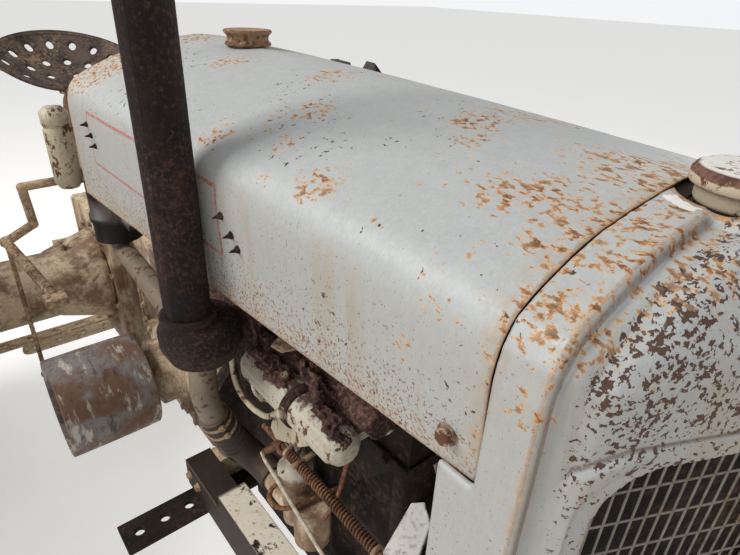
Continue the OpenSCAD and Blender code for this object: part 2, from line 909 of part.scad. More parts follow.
module rear_wheel(side) {
    seat_in = 38;
    low_r = rear_rim_r - 15;
    color(rust_tan)
        translate([side * rear_tread / 2, rear_y, rear_z])
            union() {
                turned_x([[low_r - 7, -rear_rim_half - 5], [371, -rear_rim_half - 12], [371, -rear_rim_half - 5],
                    [rear_rim_r, -rear_rim_half], [rear_rim_r, -seat_in], [low_r, -28], [low_r, 28],
                    [rear_rim_r, seat_in], [rear_rim_r, rear_rim_half], [371, rear_rim_half + 5],
                    [371, rear_rim_half + 12], [low_r - 7, rear_rim_half + 5], [low_r - 8, 30], [low_r - 8, -30]]);
                difference() {
                    turned_x([[40, -60], [95, -60], [110, -20], [low_r - 2, -8], [low_r - 2, 4], [110, -6], [95, 60], [40, 60]]);
                    for (i = [0 : 7])
                        rotate([i * 45 + 22.5, 0, 0])
                            translate([-100, 0, 232])
                                rotate([0, 90, 0])
                                    cylinder(h = 200, r = 42);
                }
                turned_x(side > 0 ? [[0, -330], [45, -330], [45, 147], [0, 147]] : [[0, -147], [45, -147], [45, 330], [0, 330]]);
            }
}

module rear_wheel_left() {
    rear_wheel(1);
}

module rear_tyre_left() {
    rear_tyre(1);
}

module rear_wheel_right() {
    rear_wheel(-1);
}

module rear_tyre_right() {
    rear_tyre(-1);
}

module steering_box() {
    v = column_top - column_bottom;
    color(iron_worn)
        difference() {
            union() {
                block([-95, 290, raised_top_z + touch], [60, 410, column_bottom.z + 15]);
                block([-95, 280, raised_top_z + touch], [-50, 420, 905]);
                rod(column_bottom, column_bottom + v * 0.55, 24);
            }
            translate([0, steer_box_y, 880])
                cylinder(h = 52, r = 22 + fit);
            rod(column_bottom + v * 0.12, column_bottom + v * 0.6, 13 + fit);
        }
}

module pitman_arm() {
    color(iron_worn)
        union() {
            translate([0, steer_box_y, arm_z - 2])
                cylinder(h = 22, r = 38);
            translate([0, steer_box_y, arm_z])
                cylinder(h = 70, r = 22);
            steer_lever(steer_box_y);
        }
}

module drag_link() {
    color(iron_worn)
        difference() {
            union() {
                for (y = [steer_box_y, front_y])
                    translate([steer_arm, y, link_z - 10])
                        cylinder(h = 20, r = 22);
                bar_y(front_y + 15, steer_box_y - 15, steer_arm, link_z, 9.5);
            }
            for (y = [steer_box_y, front_y])
                translate([steer_arm, y, link_z - 20])
                    cylinder(h = 40, r = 9 + fit);
        }
}

module steering_wheel() {
    v = column_top - column_bottom;
    tilt = 90 - atan2(v.z, v.y);
    spokes = 3;
    color(black_dull)
        union() {
            rod(column_bottom + v * 0.13, column_top, 13);
            translate(column_top)
                rotate([-tilt, 0, 0])
                    union() {
                        rotate_extrude()
                            translate([steering_wheel_d / 2 - 11, 0])
                                circle(r = 11);
                        translate([0, 0, -15])
                            cylinder(h = 30, r = 30);
                        for (i = [0 : spokes - 1])
                            rotate([0, 0, 90 + i * 360 / spokes])
                                rod([10, 0, 0], [steering_wheel_d / 2 - 12, 0, 0], 7);
                    }
        }
}

module seat() {
    sheet = 5;
    plan_r = 215;
    front = 1118;
    notch_r = 38;
    notch_end = 1160;
    // Radius of each arc of holes, number of holes, first and last angle
    holes = [[62, 4, -30, 210], [118, 8, -25, 205], [170, 11, -30, 210]];
    color(rust_tan)
        difference() {
            intersection() {
                translate(seat_centre)
                    sphere(r = seat_r);
                translate([seat_x, 1212, 1100])
                    cylinder(h = 220, r = plan_r);
                block([-400, front, 1100], [400, 1500, 1320]);
            }
            translate(seat_centre)
                sphere(r = seat_r - sheet);
            translate([seat_x, notch_end, 1100])
                cylinder(h = 60, r = notch_r);
            block([seat_x - notch_r, 1000, 1100], [seat_x + notch_r, notch_end, 1160]);
            for (ring = holes, i = [0 : ring[1] - 1]) {
                a = ring[2] + (ring[3] - ring[2]) * i / (ring[1] - 1);
                translate([seat_x + ring[0] * cos(a), 1228 + ring[0] * sin(a), 1100])
                    cylinder(h = 220, r = 12);
            }
        }
}

module seat_spring() {
    leaf = 12;
    bend_y = 1130;
    bend_r = (1124 - drive_top_z - touch) / 2;
    bend_z = drive_top_z + touch + bend_r;
    color(rust_dark)
        difference() {
            union() {
                block([seat_x - 30, 900, drive_top_z + touch], [seat_x + 30, bend_y, drive_top_z + touch + leaf]);
                intersection() {
                    difference() {
                        bar_x(seat_x - 30, seat_x + 30, bend_y, bend_z, bend_r);
                        bar_x(seat_x - 40, seat_x + 40, bend_y, bend_z, bend_r - leaf);
                    }
                    block([seat_x - 50, bend_y, 700], [seat_x + 50, 1400, 1300]);
                }
                block([seat_x - 30, bend_y, 1124 - leaf], [seat_x + 30, 1226, 1124]);
                translate([seat_x, 1222, 1112])
                    cylinder(h = 24, r = 36);
            }
            translate(seat_centre)
                sphere(r = seat_r + touch);
        }
}

module brake_linkage() {
    bar_r = 12;
    crank = [[-130, 760, drive_top_z + touch], [-130, 760, 961], [-320, 760, 957], [-314, 770, 845], [-393, 720, 828]];
    color(rust_tan)
        union() {
            run(crank, bar_r);
            translate([-130, 760, drive_top_z + touch])
                cylinder(h = 22, r = 26);
            rod([-393, 720, 828], [-350, 436, 780], bar_r + 1);
            translate([-393, 720, 828])
                sphere(r = 16);
            block([-374, 398, 768], [-326, 442, 788]);
            rod([-393, 718, 828], [-396, 704, 400], 6);
            translate([-396, 704, 396])
                sphere(r = 13);
        }
}

module clutch_pedal() {
    color(rust_tan)
        union() {
            bar_x(140 + touch, 252, 615, 700, 16);
            bar_x(222, 252, 615, 700, 24);
            rod([238, 615, 700], [238, 590, 905], 11);
            block([205, 572, 900], [271, 612, 912]);
        }
}

module shift_lever() {
    color(black_dull)
        union() {
            translate([0, 540, case_top_z + touch])
                cylinder(h = 25, r = 40);
            translate([0, 540, case_top_z + 28])
                sphere(r = 28);
            rod([0, 540, case_top_z + 28], [30, 700, 1100], 9);
            rod([28.5, 692, 1085.4], [31.5, 708, 1114.6], 20);
        }
}

module hitch_bars() {
    hole_pitch = 75;
    // y of the middle, half length
    bars = [[917, 402], [977, 536]];
    color(rust_tan)
        union() {
            for (side = [-1, 1])
                block([side > 0 ? 60 : -120, 893, bar_low_z + 12], [side > 0 ? 120 : -60, 1001, drive_low_z - touch]);
            for (bar = bars)
                difference() {
                    union() {
                        block([-bar[1], bar[0] - 24, bar_low_z], [bar[1], bar[0] + 24, bar_low_z + 12]);
                        for (side = [-1, 1])
                            translate([side * bar[1], bar[0], bar_low_z])
                                cylinder(h = 12, r = 24);
                    }
                    for (i = [0 : 3 + floor((bar[1] - 400) / 70)], side = [-1, 1])
                        translate([side * (165 + i * hole_pitch), bar[0], bar_low_z - 5])
                            cylinder(h = 30, r = 11);
                }
            block([-300, 941, bar_low_z], [-270, 953, bar_low_z + 12]);
            block([270, 941, bar_low_z], [300, 953, bar_low_z + 12]);
        }
}

module cross_bar() {
    color(rust_tan)
        difference() {
            block([-400, cross_bar_y - 38, 412], [400, cross_bar_y + 38, rail_low_z - touch]);
            for (i = [0 : 2], side = [-1, 1])
                translate([side * (255 + i * 55), cross_bar_y, 400])
                    cylinder(h = 40, r = 11);
        }
}

module drawbar() {
    color(iron_worn)
        difference() {
            union() {
                block([-35, 700, 320], [35, 1489, 350]);
                translate([0, 1489, 320])
                    cylinder(h = 30, r = 35);
                block([-55, 1006, 350], [55, 1038, drive_low_z - touch]);
                block([-50, 700, 350], [50, 760, drive_low_z - touch]);
            }
            translate([0, 1484, 300])
                cylinder(h = 70, r = 13.5);
        }
}

module pto_shaft() {
    color(steel_worn)
        union() {
            bar_y(995, 1060, 0, pto_z, 22);
            bar_y(1060, 1139, 0, pto_z, 17.45);
        }
}

hood();
nose_shell();
grille();
radiator();
radiator_cap();
upper_hose();
fuel_tank();
fuel_cap();
engine_block();
cylinder_head();
oil_pan();
intake_manifold();
exhaust_manifold();
exhaust_elbow();
exhaust_stack();
carburettor();
air_cleaner();
pre_cleaner();
air_pipe();
air_hose();
governor_linkage();
fan();
fan_belt();
starter_motor();
magneto();
transmission_case();
final_drive();
pulley_gearbox();
belt_pulley();
frame_rails();
front_bolster();
front_fork();
front_rim();
front_tyre();
rear_wheel_left();
rear_tyre_left();
rear_wheel_right();
rear_tyre_right();
steering_box();
pitman_arm();
drag_link();
steering_wheel();
seat();
seat_spring();
brake_linkage();
clutch_pedal();
shift_lever();
hitch_bars();
cross_bar();
drawbar();
pto_shaft();
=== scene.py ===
import json
import math
from contextlib import contextmanager
from functools import reduce

import bpy
import numpy as np
from mathutils import Matrix, Vector, noise


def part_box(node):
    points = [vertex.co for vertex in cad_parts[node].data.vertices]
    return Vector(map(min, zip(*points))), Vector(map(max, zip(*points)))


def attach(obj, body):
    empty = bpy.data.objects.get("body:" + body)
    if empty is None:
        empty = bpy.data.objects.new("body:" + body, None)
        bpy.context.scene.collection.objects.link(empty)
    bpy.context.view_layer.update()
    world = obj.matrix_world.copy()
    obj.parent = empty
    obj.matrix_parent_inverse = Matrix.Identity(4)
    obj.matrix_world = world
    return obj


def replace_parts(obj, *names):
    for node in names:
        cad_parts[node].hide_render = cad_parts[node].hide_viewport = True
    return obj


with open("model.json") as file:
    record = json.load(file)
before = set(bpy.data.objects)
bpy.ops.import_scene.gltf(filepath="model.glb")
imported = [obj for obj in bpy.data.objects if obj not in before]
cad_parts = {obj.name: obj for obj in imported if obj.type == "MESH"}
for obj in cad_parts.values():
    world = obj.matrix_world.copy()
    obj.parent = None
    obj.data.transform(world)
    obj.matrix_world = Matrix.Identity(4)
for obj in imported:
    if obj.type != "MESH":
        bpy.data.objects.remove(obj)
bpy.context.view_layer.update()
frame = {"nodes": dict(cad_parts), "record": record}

NODES = frame["nodes"]
MM = 0.001
UP = (0, 0, 1)
REARWARD = (0, 1, 0)
RIGHTWARD = (-1, 0, 0)

SLOT_OF = {part["node"]: part["material_slot"] for part in frame["record"]["subparts"]}
BODY_OF = {node: body for body, nodes in frame["record"]["behaviour"]["bodies"].items() for node in nodes}
SIDES = ((-1, "right"), (1, "left"))


def middle_mm(node):
    """Middle of a CAD node's box, in whole mm."""
    low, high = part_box(node)
    return [round((a + b) / 2 / MM) for a, b in zip(low, high)]


# Middles of the round nodes that other pieces are placed by
_, REAR_Y, REAR_Z = middle_mm("rear_tyre_left")
_, FRONT_Y, FRONT_Z = middle_mm("front_tyre")
_, PULLEY_Y, PULLEY_Z = middle_mm("belt_pulley")
_, CAP_Y, _ = middle_mm("radiator_cap")
STACK_X, STACK_Y, _ = middle_mm("exhaust_stack")


# Camera, lamps and floor

def set_camera():
    """The photograph's place and angle, close over the right side of the nose."""
    across = Vector((0.77042369, -0.63638896, 0.03816319))
    up = Vector((0.27613943, 0.38705555, 0.87973576))
    back = Vector((-0.5746254, -0.66723091, 0.47392885))
    turn = Matrix((across, up, back)).transposed()
    bpy.ops.object.camera_add(location=(-0.5, -0.909, 1.47), rotation=turn.to_euler())
    camera = bpy.context.object
    camera.data.sensor_width = 36
    camera.data.lens = 26.27
    camera.data.clip_start = 0.01
    bpy.context.scene.camera = camera


def set_lamps():
    """One large soft key from the tractor's rear right, two fills and a plain sky."""
    # name, place, size in metres, watts
    lamps = [
        ("key_lamp", (-3.2, 1.6, 4.2), 2.2, 178),
        ("front_lamp", (-2.6, -4.2, 2.6), 3.0, 42),
        ("left_lamp", (4.6, -0.8, 3.0), 3.2, 70),
    ]
    target = Vector((0, 0, 0.9))
    for name, place, size, watts in lamps:
        turn = (target - Vector(place)).to_track_quat("-Z", "Y").to_euler()
        bpy.ops.object.light_add(type="AREA", location=place, rotation=turn)
        lamp = bpy.context.object
        lamp.name = name
        lamp.data.size = size
        lamp.data.energy = watts
    world = bpy.data.worlds.new("studio")
    world.use_nodes = True
    bpy.context.scene.world = world
    nodes, links = world.node_tree.nodes, world.node_tree.links
    sky = nodes["Background"]
    sky.inputs["Strength"].default_value = 0.42
    backdrop = nodes.new("ShaderNodeBackground")
    backdrop.inputs["Strength"].default_value = 0.94
    rays = nodes.new("ShaderNodeLightPath")
    choice = nodes.new("ShaderNodeMixShader")
    for node in (sky, backdrop):
        node.inputs["Color"].default_value = (0.96, 0.97, 1.0, 1)
    links.new(rays.outputs["Is Camera Ray"], choice.inputs[0])
    links.new(sky.outputs[0], choice.inputs[1])
    links.new(backdrop.outputs[0], choice.inputs[2])
    links.new(choice.outputs[0], nodes["World Output"].inputs["Surface"])


def make_floor():
    """Plain pale floor that keeps the tractor's shadow."""
    bpy.ops.mesh.primitive_plane_add(size=80)
    floor = bpy.context.object
    floor.name = "floor"
    f = Finish("floor_paper", 0.95, 0.0, 0.1)
    seen = f.add("LightPath", output="Is Camera Ray")
    for kind in ("Is Glossy Ray", "Is Transmission Ray"):
        seen = seen + f.add("LightPath", output=kind)
    f.feed(f.shader.inputs["Emission Color"], (1, 1, 0.985, 1))
    f.feed(f.shader.inputs["Emission Strength"], seen * 0.44)
    floor.data.materials.append(f.finish(tone("e2e0db")))


# Tools for the finishes

def tone(code):
    """Linear colour from a hex code."""
    parts = [int(code[i:i + 2], 16) / 255 for i in (0, 2, 4)]
    return tuple(c / 12.92 if c <= 0.04045 else ((c + 0.055) / 1.055) ** 2.4 for c in parts) + (1,)


class Value:
    """A value that a finish works out point by point, with plain arithmetic."""

    def __init__(self, finish, socket):
        self.finish = finish
        self.socket = socket

    def reckon(self, how, *others):
        return self.finish.add("Math", dict(enumerate((self, *others))), operation=how)

    def __add__(self, other):
        return self.reckon("ADD", other)

    def __sub__(self, other):
        return self.reckon("SUBTRACT", other)

    def __rsub__(self, other):
        return self.finish.add("Math", {0: other, 1: self}, operation="SUBTRACT")

    def __mul__(self, other):
        return self.reckon("MULTIPLY", other)

    def higher(self, other):
        return self.reckon("MAXIMUM", other)

    def capped(self, limit):
        return self.reckon("MINIMUM", limit)

    def size(self):
        return self.reckon("ABSOLUTE")

    def wave(self):
        return self.reckon("SINE")

    def step(self, low, high, to_low=0.0, to_high=1.0):
        """Soft step from low to high."""
        inputs = dict(enumerate((self, low, high, to_low, to_high)))
        return self.finish.add("MapRange", inputs, interpolation_type="SMOOTHSTEP")

    def parts(self):
        """The x, y and z of a vector."""
        split = self.finish.add("SeparateXYZ", {0: self})
        return [Value(self.finish, socket) for socket in split.socket.node.outputs]


class Finish:
    """A material whose patterns lie on the piece's own place in metres."""

    def __init__(self, name, roughness=0.6, metallic=0.0, specular=0.5):
        self.name = name
        self.material = bpy.data.materials.new(name)
        self.material.use_nodes = True
        self.tree = self.material.node_tree
        self.shader = self.tree.nodes["Principled BSDF"]
        self.shader.inputs["Roughness"].default_value = roughness
        self.shader.inputs["Metallic"].default_value = metallic
        self.shader.inputs["Specular IOR Level"].default_value = specular
        self.place = self.add("TexCoord", output="Object")
        self.normal = self.add("NewGeometry", output="Normal")
        self.x, self.y, self.z = self.place.parts()
        # How far the surface faces up, from -1 to 1
        self.lean = self.normal.parts()[2]

    def feed(self, socket, value):
        if isinstance(value, Value):
            self.tree.links.new(value.socket, socket)
        else:
            socket.default_value = value

    def add(self, kind, inputs=None, output=0, **settings):
        """Adds a node with its settings and inputs, and gives one of its outputs."""
        node = self.tree.nodes.new("ShaderNode" + kind)
        for key, value in settings.items():
            setattr(node, key, value)
        for key, value in (inputs or {}).items():
            self.feed(node.inputs[key], value)
        return Value(self, node.outputs[output])

    def stretched(self, x, y, z, shift=(0, 0, 0)):
        return self.add("Mapping", {"Vector": self.place, "Scale": (x, y, z), "Location": shift})

    def cloud(self, scale, detail=6, roughness=0.6, bend=0.0, at=None):
        inputs = {"Scale": scale, "Detail": detail, "Roughness": roughness, "Distortion": bend}
        return self.add("TexNoise", {"Vector": at or self.place, **inputs}, "Fac")

    def mix(self, share, a, b):
        return self.add("Mix", {0: share, 6: a, 7: b}, 2, data_type="RGBA")

    def mottle(self, scale, detail, roughness, a, b):
        """Two tones, given as hex codes, in a cloud."""
        return self.mix(self.cloud(scale, detail, roughness), tone(a), tone(b))

    def spots(self, places):
        """High within each place's reach; rows are x, y, z and reach in mm."""
        near = []
        for x, y, z, reach in places:
            middle = (x * MM, y * MM, z * MM)
            away = self.add("VectorMath", {0: self.place, 1: middle}, "Value", operation="DISTANCE")
            near.append(away.step(reach * 1.3 * MM, reach * 0.4 * MM))
        return reduce(Value.higher, near)

    def painted(self, name):
        """A value set point by point on the piece, nought where it has none."""
        return self.add("Attribute", output="Fac", attribute_name=name)

    def rounded(self, radius):
        return self.add("Bevel", {"Radius": radius}, samples=4)

    def worn_edge(self, radius):
        """High along outer edges, from how far a rounded edge's normal leans away."""
        inputs = {0: self.rounded(radius), 1: self.normal}
        along = self.add("VectorMath", inputs, "Value", operation="DOT_PRODUCT")
        return 1.0 - along

    def relief(self, height, depth, strength=1.0, over=None):
        inputs = {"Height": height, "Distance": depth, "Strength": strength}
        if over:
            inputs["Normal"] = over
        return self.add("Bump", inputs)

    def finish(self, colour, roughness=None, normal=None):
        for key, value in (("Base Color", colour), ("Roughness", roughness), ("Normal", normal)):
            if value is not None:
                self.feed(self.shader.inputs[key], value)
        FINISH[self.name] = self.material
        return self.material


# Finishes

FINISH = {}

# Middle and reach in mm of the clusters of rust on the hood and the nose's shoulder
RUST_SPOTS = [
    (-218, -492, 1303, 34), (-195, -400, 1320, 26), (-30, -260, 1352, 42), (-130, -365, 1334, 36),
    (-25, -528, 1348, 44), (-140, -657, 1326, 36), (-110, -693, 1328, 46), (-20, -698, 1338, 62),
    (-150, -727, 1318, 40), (-120, -766, 1324, 62), (-222, -285, 1311, 32), (-165, 170, 1336, 95),
    (-80, -60, 1362, 40), (-225, -675, 1256, 24), (-225, -776, 1286, 42), (-228, -770, 1225, 26),
    (-70, -560, 1344, 26), (-238, -650, 1215, 22),
]
SEAM = -0.74


def rust_level(f, region, grain):
    """How far rust has broken through: flecks, thickest in clusters, along the seam and on worn rims."""
    fleck = f.cloud(118, 5, 0.6, 0.25, f.stretched(1.3, 0.78, 1.1))
    by_seam = f.y.step(SEAM + 0.14, SEAM)
    by_rear = f.y.step(0.04, 0.22)
    nose_top = f.y.step(SEAM + 0.005, SEAM - 0.005) * f.z.step(1.25, 1.31)
    left = f.x.step(0.0, 0.05)
    cluster = f.spots(RUST_SPOTS).higher(region.step(0.47, 0.66) * left) * 0.165
    cluster = cluster + (by_seam * 0.3).higher(by_rear) * (f.lean.step(0.05, 0.5) * 0.11)
    cluster = cluster + (f.lean.step(0.35, 0.8) * 0.035 - 0.055)
    cluster = cluster + f.painted("edge").step(0.5, 1.0) * 0.10
    cluster = cluster + nose_top * 0.06 + by_rear * 0.05
    cluster = cluster + (f.cloud(19, 3, 0.6) - 0.5) * 0.35
    return fleck + cluster.capped(0.145) + (grain - 0.5) * 0.2


def pit_level(f):
    """Dark pits: few on the hood, many on the nose's upper front."""
    few = f.cloud(7.5, 2, 0.5, 0, f.stretched(1, 1, 1, (3, 1, 2))).step(0.42, 0.62)
    pit = f.cloud(125, 3, 0.55, 0.3) + few * 0.10 - 0.045
    nose_pit = f.cloud(200, 3, 0.6, 0.3) + f.cloud(30, 3, 0.6) * 0.34
    nose_pit = nose_pit + f.z.step(1.13, 1.27) * 0.10 - 0.087
    return pit.higher(nose_pit * f.y.step(SEAM - 0.035, SEAM - 0.06))


def stripe_mask(f, wear):
    """Thin worn outline of a plain rectangle on both sides of the hood."""
    mid_y, mid_z, half_y, half_z, line = -0.105, 1.217, 0.235, 0.044, 0.0022
    over_y = (f.y - mid_y).size() - half_y
    over_z = (f.z - mid_z).size() - half_z
    mask = over_y.higher(over_z).size().step(line, line * 1.4, 1.0, 0.0)
    return mask * wear.step(0.4, 0.62, 0.95, 0.25)


def faded_ground(f, grain, side, outline):
    """The paint without its rust: chalky silver-grey with rain marks down the sides and tan rims."""
    rim = f.painted("edge")
    paint = f.mottle(2.6, 4, 0.5, "aeb1b0", "bfc0bc")
    paint = f.mix(f.cloud(70, 5, 0.7).step(0.35, 0.75, 0, 0.45), paint, tone("a2a5a4"))
    chalk = f.cloud(300, 3, 0.6, 0, f.stretched(1, 1, 0.3))
    paint = f.mix(chalk.step(0.45, 0.7, 0, 0.35), paint, tone("c9c8c2"))
    paint = f.mix(side * 0.5, paint, tone("a5a299"))
    rain = f.cloud(26, 5, 0.6, 0, f.stretched(1, 1, 0.1))
    paint = f.mix(rain.step(0.5, 0.72, 0, 0.5) * side, paint, tone("a8947a"))
    if outline:
        paint = f.mix(stripe_mask(f, grain), paint, tone("b4544a"))
    rubbed = rim.step(0.2, 1.0, 0, 0.6) * f.cloud(55, 5, 0.65).step(0.42, 0.6)
    paint = f.mix(rubbed, paint, tone("b39a7c"))
    edge = f.mix(grain, tone("8a6c51"), tone("b3977a"))
    return f.mix((rim + grain * 0.1).step(0.96, 1.03, 0, 0.9), paint, edge)


def faded_paint(name, low_z, outline=False):
    """Faded paint with tan rust flecks in clusters, dark pits, and fine speckle low on the sides."""
    f = Finish(name, 0.5)
    region = f.cloud(6.5, 3, 0.55, 0.3)
    grain = f.cloud(230, 3, 0.6)
    side = f.lean.step(0.5, 0.1)
    level = rust_level(f, region, grain)
    pit = pit_level(f)

    def grained(dark, light):
        return f.mix(grain, tone(dark), tone(light))

    colour = faded_ground(f, grain, side, outline)
    colour = f.mix(level.step(0.622, 0.665, 0, 0.75), colour, grained("c8a177", "d8b98f"))
    rust = f.mix(grain.step(0.38, 0.60), tone("825536"), tone("b98556"))
    colour = f.mix(level.step(0.665, 0.70), colour, rust)
    colour = f.mix(level.step(0.735, 0.775), colour, tone("6d4a34"))
    colour = f.mix(pit.step(0.70, 0.72), colour, grained("43342f", "6b5040"))
    speck = f.cloud(270, 4, 0.65) + (f.z.step(low_z + 0.14, low_z) * 0.105 + region * 0.14)
    colour = f.mix(speck.step(0.70, 0.735) * side, colour, grained("6d4a33", "9b7047"))
    # Painted shade, dark brown: down the rear wall of the nose groove and round the outer foot of each window
    # frame
    colour = f.mix(f.painted("crease_shade").step(0.25, 0.9, 0, 0.8), colour, grained("4d4038", "7a624e"))
    colour = f.mix(f.painted("bare").step(0.3, 0.6), colour, tone("eceae4"))
    pale = level.step(0.655, 0.69) * f.cloud(38, 4, 0.6).step(0.35, 0.65, 0, 0.35)
    colour = f.mix(pale, colour, tone("c9b297"))

    rusty = level.step(0.62, 0.70).higher(pit.step(0.69, 0.72))
    height = rusty * -0.6 + grain * (rusty + 0.35) + f.cloud(11, 2, 0.4) * 1.6
    roughness = rusty.step(0.1, 0.9, 0.44, 0.88) + f.cloud(8, 4, 0.6) * 0.12
    f.finish(colour, roughness, f.relief(height, 0.001, 0.5))


def flaking(name, light, dark, level, crust_z=None):
    """Old paint coming off dark rust in flakes, under a crust of scale above crust_z."""
    f = Finish(name, 0.6)
    flake = f.cloud(42, 8, 0.68, 0.3) + f.worn_edge(0.005).step(0.02, 0.3, 0, 0.14)
    paint = f.mottle(14, 5, 0.6, light, dark)
    paint = f.mix(f.cloud(150, 4, 0.6).step(0.5, 0.7, 0, 0.5), paint, tone("8a6d4c"))
    rust = f.mottle(160, 4, 0.7, "3a241b", "7c4d30")
    bare = flake.step(level, level + 0.04)
    colour = f.mix(bare, paint, rust)
    height = bare * -0.6 + f.cloud(300, 3, 0.6) * 0.4
    if crust_z:
        ragged = f.z + (f.cloud(26, 6, 0.7) - 0.5) * 0.06
        crust = ragged.step(crust_z, crust_z + 0.006)
        colour = f.mix(crust, colour, f.mottle(110, 6, 0.7, "35231f", "6e4a3c"))
        height = height + crust * (f.cloud(75, 6, 0.75) * 5)
    roughness = flake.step(level - 0.02, level + 0.05, 0.5, 0.92)
    f.finish(colour, roughness, f.relief(height, 0.001, 0.6, f.rounded(0.003)))


def rusted(name, dark, mid, bright, share, grain=90, depth=0.0016):
    """Rust from near black to tan; share is how much of the bright bloom shows."""
    f = Finish(name, 0.9, 0.0, 0.3)
    colour = f.mix(f.cloud(18, 6, 0.65).step(0.36, 0.64), tone(dark), tone(mid))
    bloom = f.cloud(grain, 7, 0.7) + f.cloud(8, 3, 0.5) * 0.5
    colour = f.mix(bloom.step(0.76 - share, 1.02 - share), colour, tone(bright))
    colour = f.mix(f.cloud(grain * 3.1, 3, 0.6).step(0.5, 0.75, 0, 0.6), colour, tone(dark))
    colour = f.mix(f.worn_edge(0.004).step(0.03, 0.35, 0, 0.45), colour, tone(bright))
    height = f.cloud(grain * 1.7, 5, 0.7) + f.cloud(grain * 5, 2, 0.5) * 0.4
    f.finish(colour, None, f.relief(height, depth, 0.7, f.rounded(0.003)))


def worn_casting(name, bare):
    """Tan and cream paint worn through to oily brown iron; bare is how much of the iron shows."""
    f = Finish(name, 0.7, 0.0, 0.4)
    layer = f.cloud(9, 6, 0.62, 0.4) + f.cloud(60, 6, 0.7) * 0.35
    iron = f.mottle(30, 6, 0.6, "644b39", "9a7b5e")
    paint = f.mottle(16, 5, 0.6, "c9b08f", "e2cfb0")
    colour = f.mix(layer.step(bare, bare + 0.2), iron, paint)
    colour = f.mix(f.cloud(210, 4, 0.65).step(0.52, 0.72, 0, 0.55), colour, tone("5c4432"))
    streak = f.cloud(34, 5, 0.6, 0, f.stretched(1, 1, 0.15))
    colour = f.mix(streak.step(0.5, 0.72, 0, 0.65), colour, tone("7a5637"))
    colour = f.mix(f.worn_edge(0.006).step(0.03, 0.35, 0, 0.5), colour, tone("b29a78"))
    height = f.cloud(130, 5, 0.7) + layer.step(0.66, 0.72) * 0.5
    roughness = layer.step(0.6, 0.8, 0.55, 0.8)
    f.finish(colour, roughness, f.relief(height, 0.0012, 0.6, f.rounded(0.005)))


def frame_paint():
    """Rails under the engine: pale cream left on the top face in front, oily brown everywhere else."""
    f = Finish("frame_paint", 0.7, 0.0, 0.35)
    dark = f.mottle(26, 6, 0.65, "17120f", "3f3127")
    cream = f.mottle(40, 6, 0.65, "efe7da", "d9c8ad")
    cream = f.mix(f.cloud(90, 6, 0.7).step(0.56, 0.66), cream, tone("a5825c"))
    kept = f.lean.step(0.6, 0.8) * f.y.step(-0.15, -0.16) * f.cloud(30, 5, 0.65).step(0.66, 0.60)
    colour = f.mix(kept, dark, cream)
    colour = f.mix(f.worn_edge(0.005).step(0.03, 0.35, 0, 0.6), colour, tone("a98d6b"))
    f.finish(colour, None, f.relief(f.cloud(120, 6, 0.7), 0.0012, 0.6, f.rounded(0.004)))


def worn_steel():
    """Bare steel with brown stain and pale rubbed streaks."""
    f = Finish("worn_steel", 0.55, 0.35)
    streak = f.cloud(40, 6, 0.65, 0, f.stretched(0.25, 1, 1))
    colour = f.mottle(22, 5, 0.6, "4a3d36", "71604f")
    colour = f.mix(streak.step(0.45, 0.7), colour, tone("8d8881"))
    colour = f.mix(f.worn_edge(0.003).step(0.03, 0.3, 0, 0.6), colour, tone("aaa49a"))
    roughness = streak.step(0.4, 0.7, 0.75, 0.42)
    f.finish(colour, roughness, f.relief(f.cloud(200, 4, 0.6), 0.0006, 0.5, f.rounded(0.002)))


def pulley_face():
    """Belt face rubbed by years of leather belt, blue-grey and brown with pale runs."""
    f = Finish("pulley_face", 0.6, 0.2)
    run = f.cloud(30, 7, 0.7, 0, f.stretched(1, 0.3, 0.3))
    patch = f.cloud(11, 6, 0.65, 0.5)
    colour = f.mix(patch.step(0.40, 0.58), tone("6f5342"), tone("7f7b77"))
    colour = f.mix(run.step(0.53, 0.62, 0, 0.85), colour, tone("c6beb2"))
    colour = f.mix(run.step(0.44, 0.36, 0, 0.8), colour, tone("3a2f2a"))
    colour = f.mix(f.cloud(75, 6, 0.7).step(0.56, 0.66, 0, 0.8), colour, tone("63442f"))
    colour = f.mix(f.worn_edge(0.004).step(0.03, 0.3, 0, 0.6), colour, tone("8a6a48"))
    roughness = patch.step(0.3, 0.7, 0.8, 0.5)
    f.finish(colour, roughness, f.relief(f.cloud(120, 6, 0.7), 0.001, 0.6, f.rounded(0.003)))


def dusty_black(name, black, dust_tone, roughness, bump=0.0006):
    """Black steel or rubber, dusty on top."""
    f = Finish(name, roughness)
    dust = f.cloud(24, 6, 0.65) * f.lean.step(-0.2, 1.0, 0.0, 0.55)
    colour = f.mix(dust.step(0.05, 0.5), tone(black), tone(dust_tone))
    f.finish(colour, None, f.relief(f.cloud(160, 5, 0.6), bump, 0.5, f.rounded(0.003)))


def cap(name, top_dark, top_light, side_tone, share, rim_tone="8a6648"):
    """A filler cap whose top, rolled rim and side wear differently."""
    f = Finish(name, 0.75, 0.0, 0.3)
    top = f.mottle(60, 6, 0.7, top_dark, top_light)
    top = f.mix(f.cloud(90, 5, 0.7, 0.2).step(0.56, 0.62), top, tone(rim_tone))
    flake = f.cloud(70, 7, 0.7, 0.3)
    side = f.mix(flake.step(0.60 - share, 0.66 - share), tone(side_tone), tone("6b4228"))
    rim = f.mix(f.cloud(85, 6, 0.7).step(0.40, 0.60), tone(rim_tone), tone("533529"))
    rim = f.mix(f.cloud(150, 6, 0.7).step(0.56, 0.64), rim, tone("b59a82"))
    on_rim = (f.lean + f.cloud(50, 5, 0.7) * 0.7).step(0.45, 0.6)
    colour = f.mix(f.lean.step(0.80, 0.93), f.mix(on_rim, side, rim), top)
    height = f.cloud(220, 5, 0.7) + flake.step(0.6, 0.66) * -0.5
    f.finish(colour, None, f.relief(height, 0.0012, 0.6, f.rounded(0.002)))


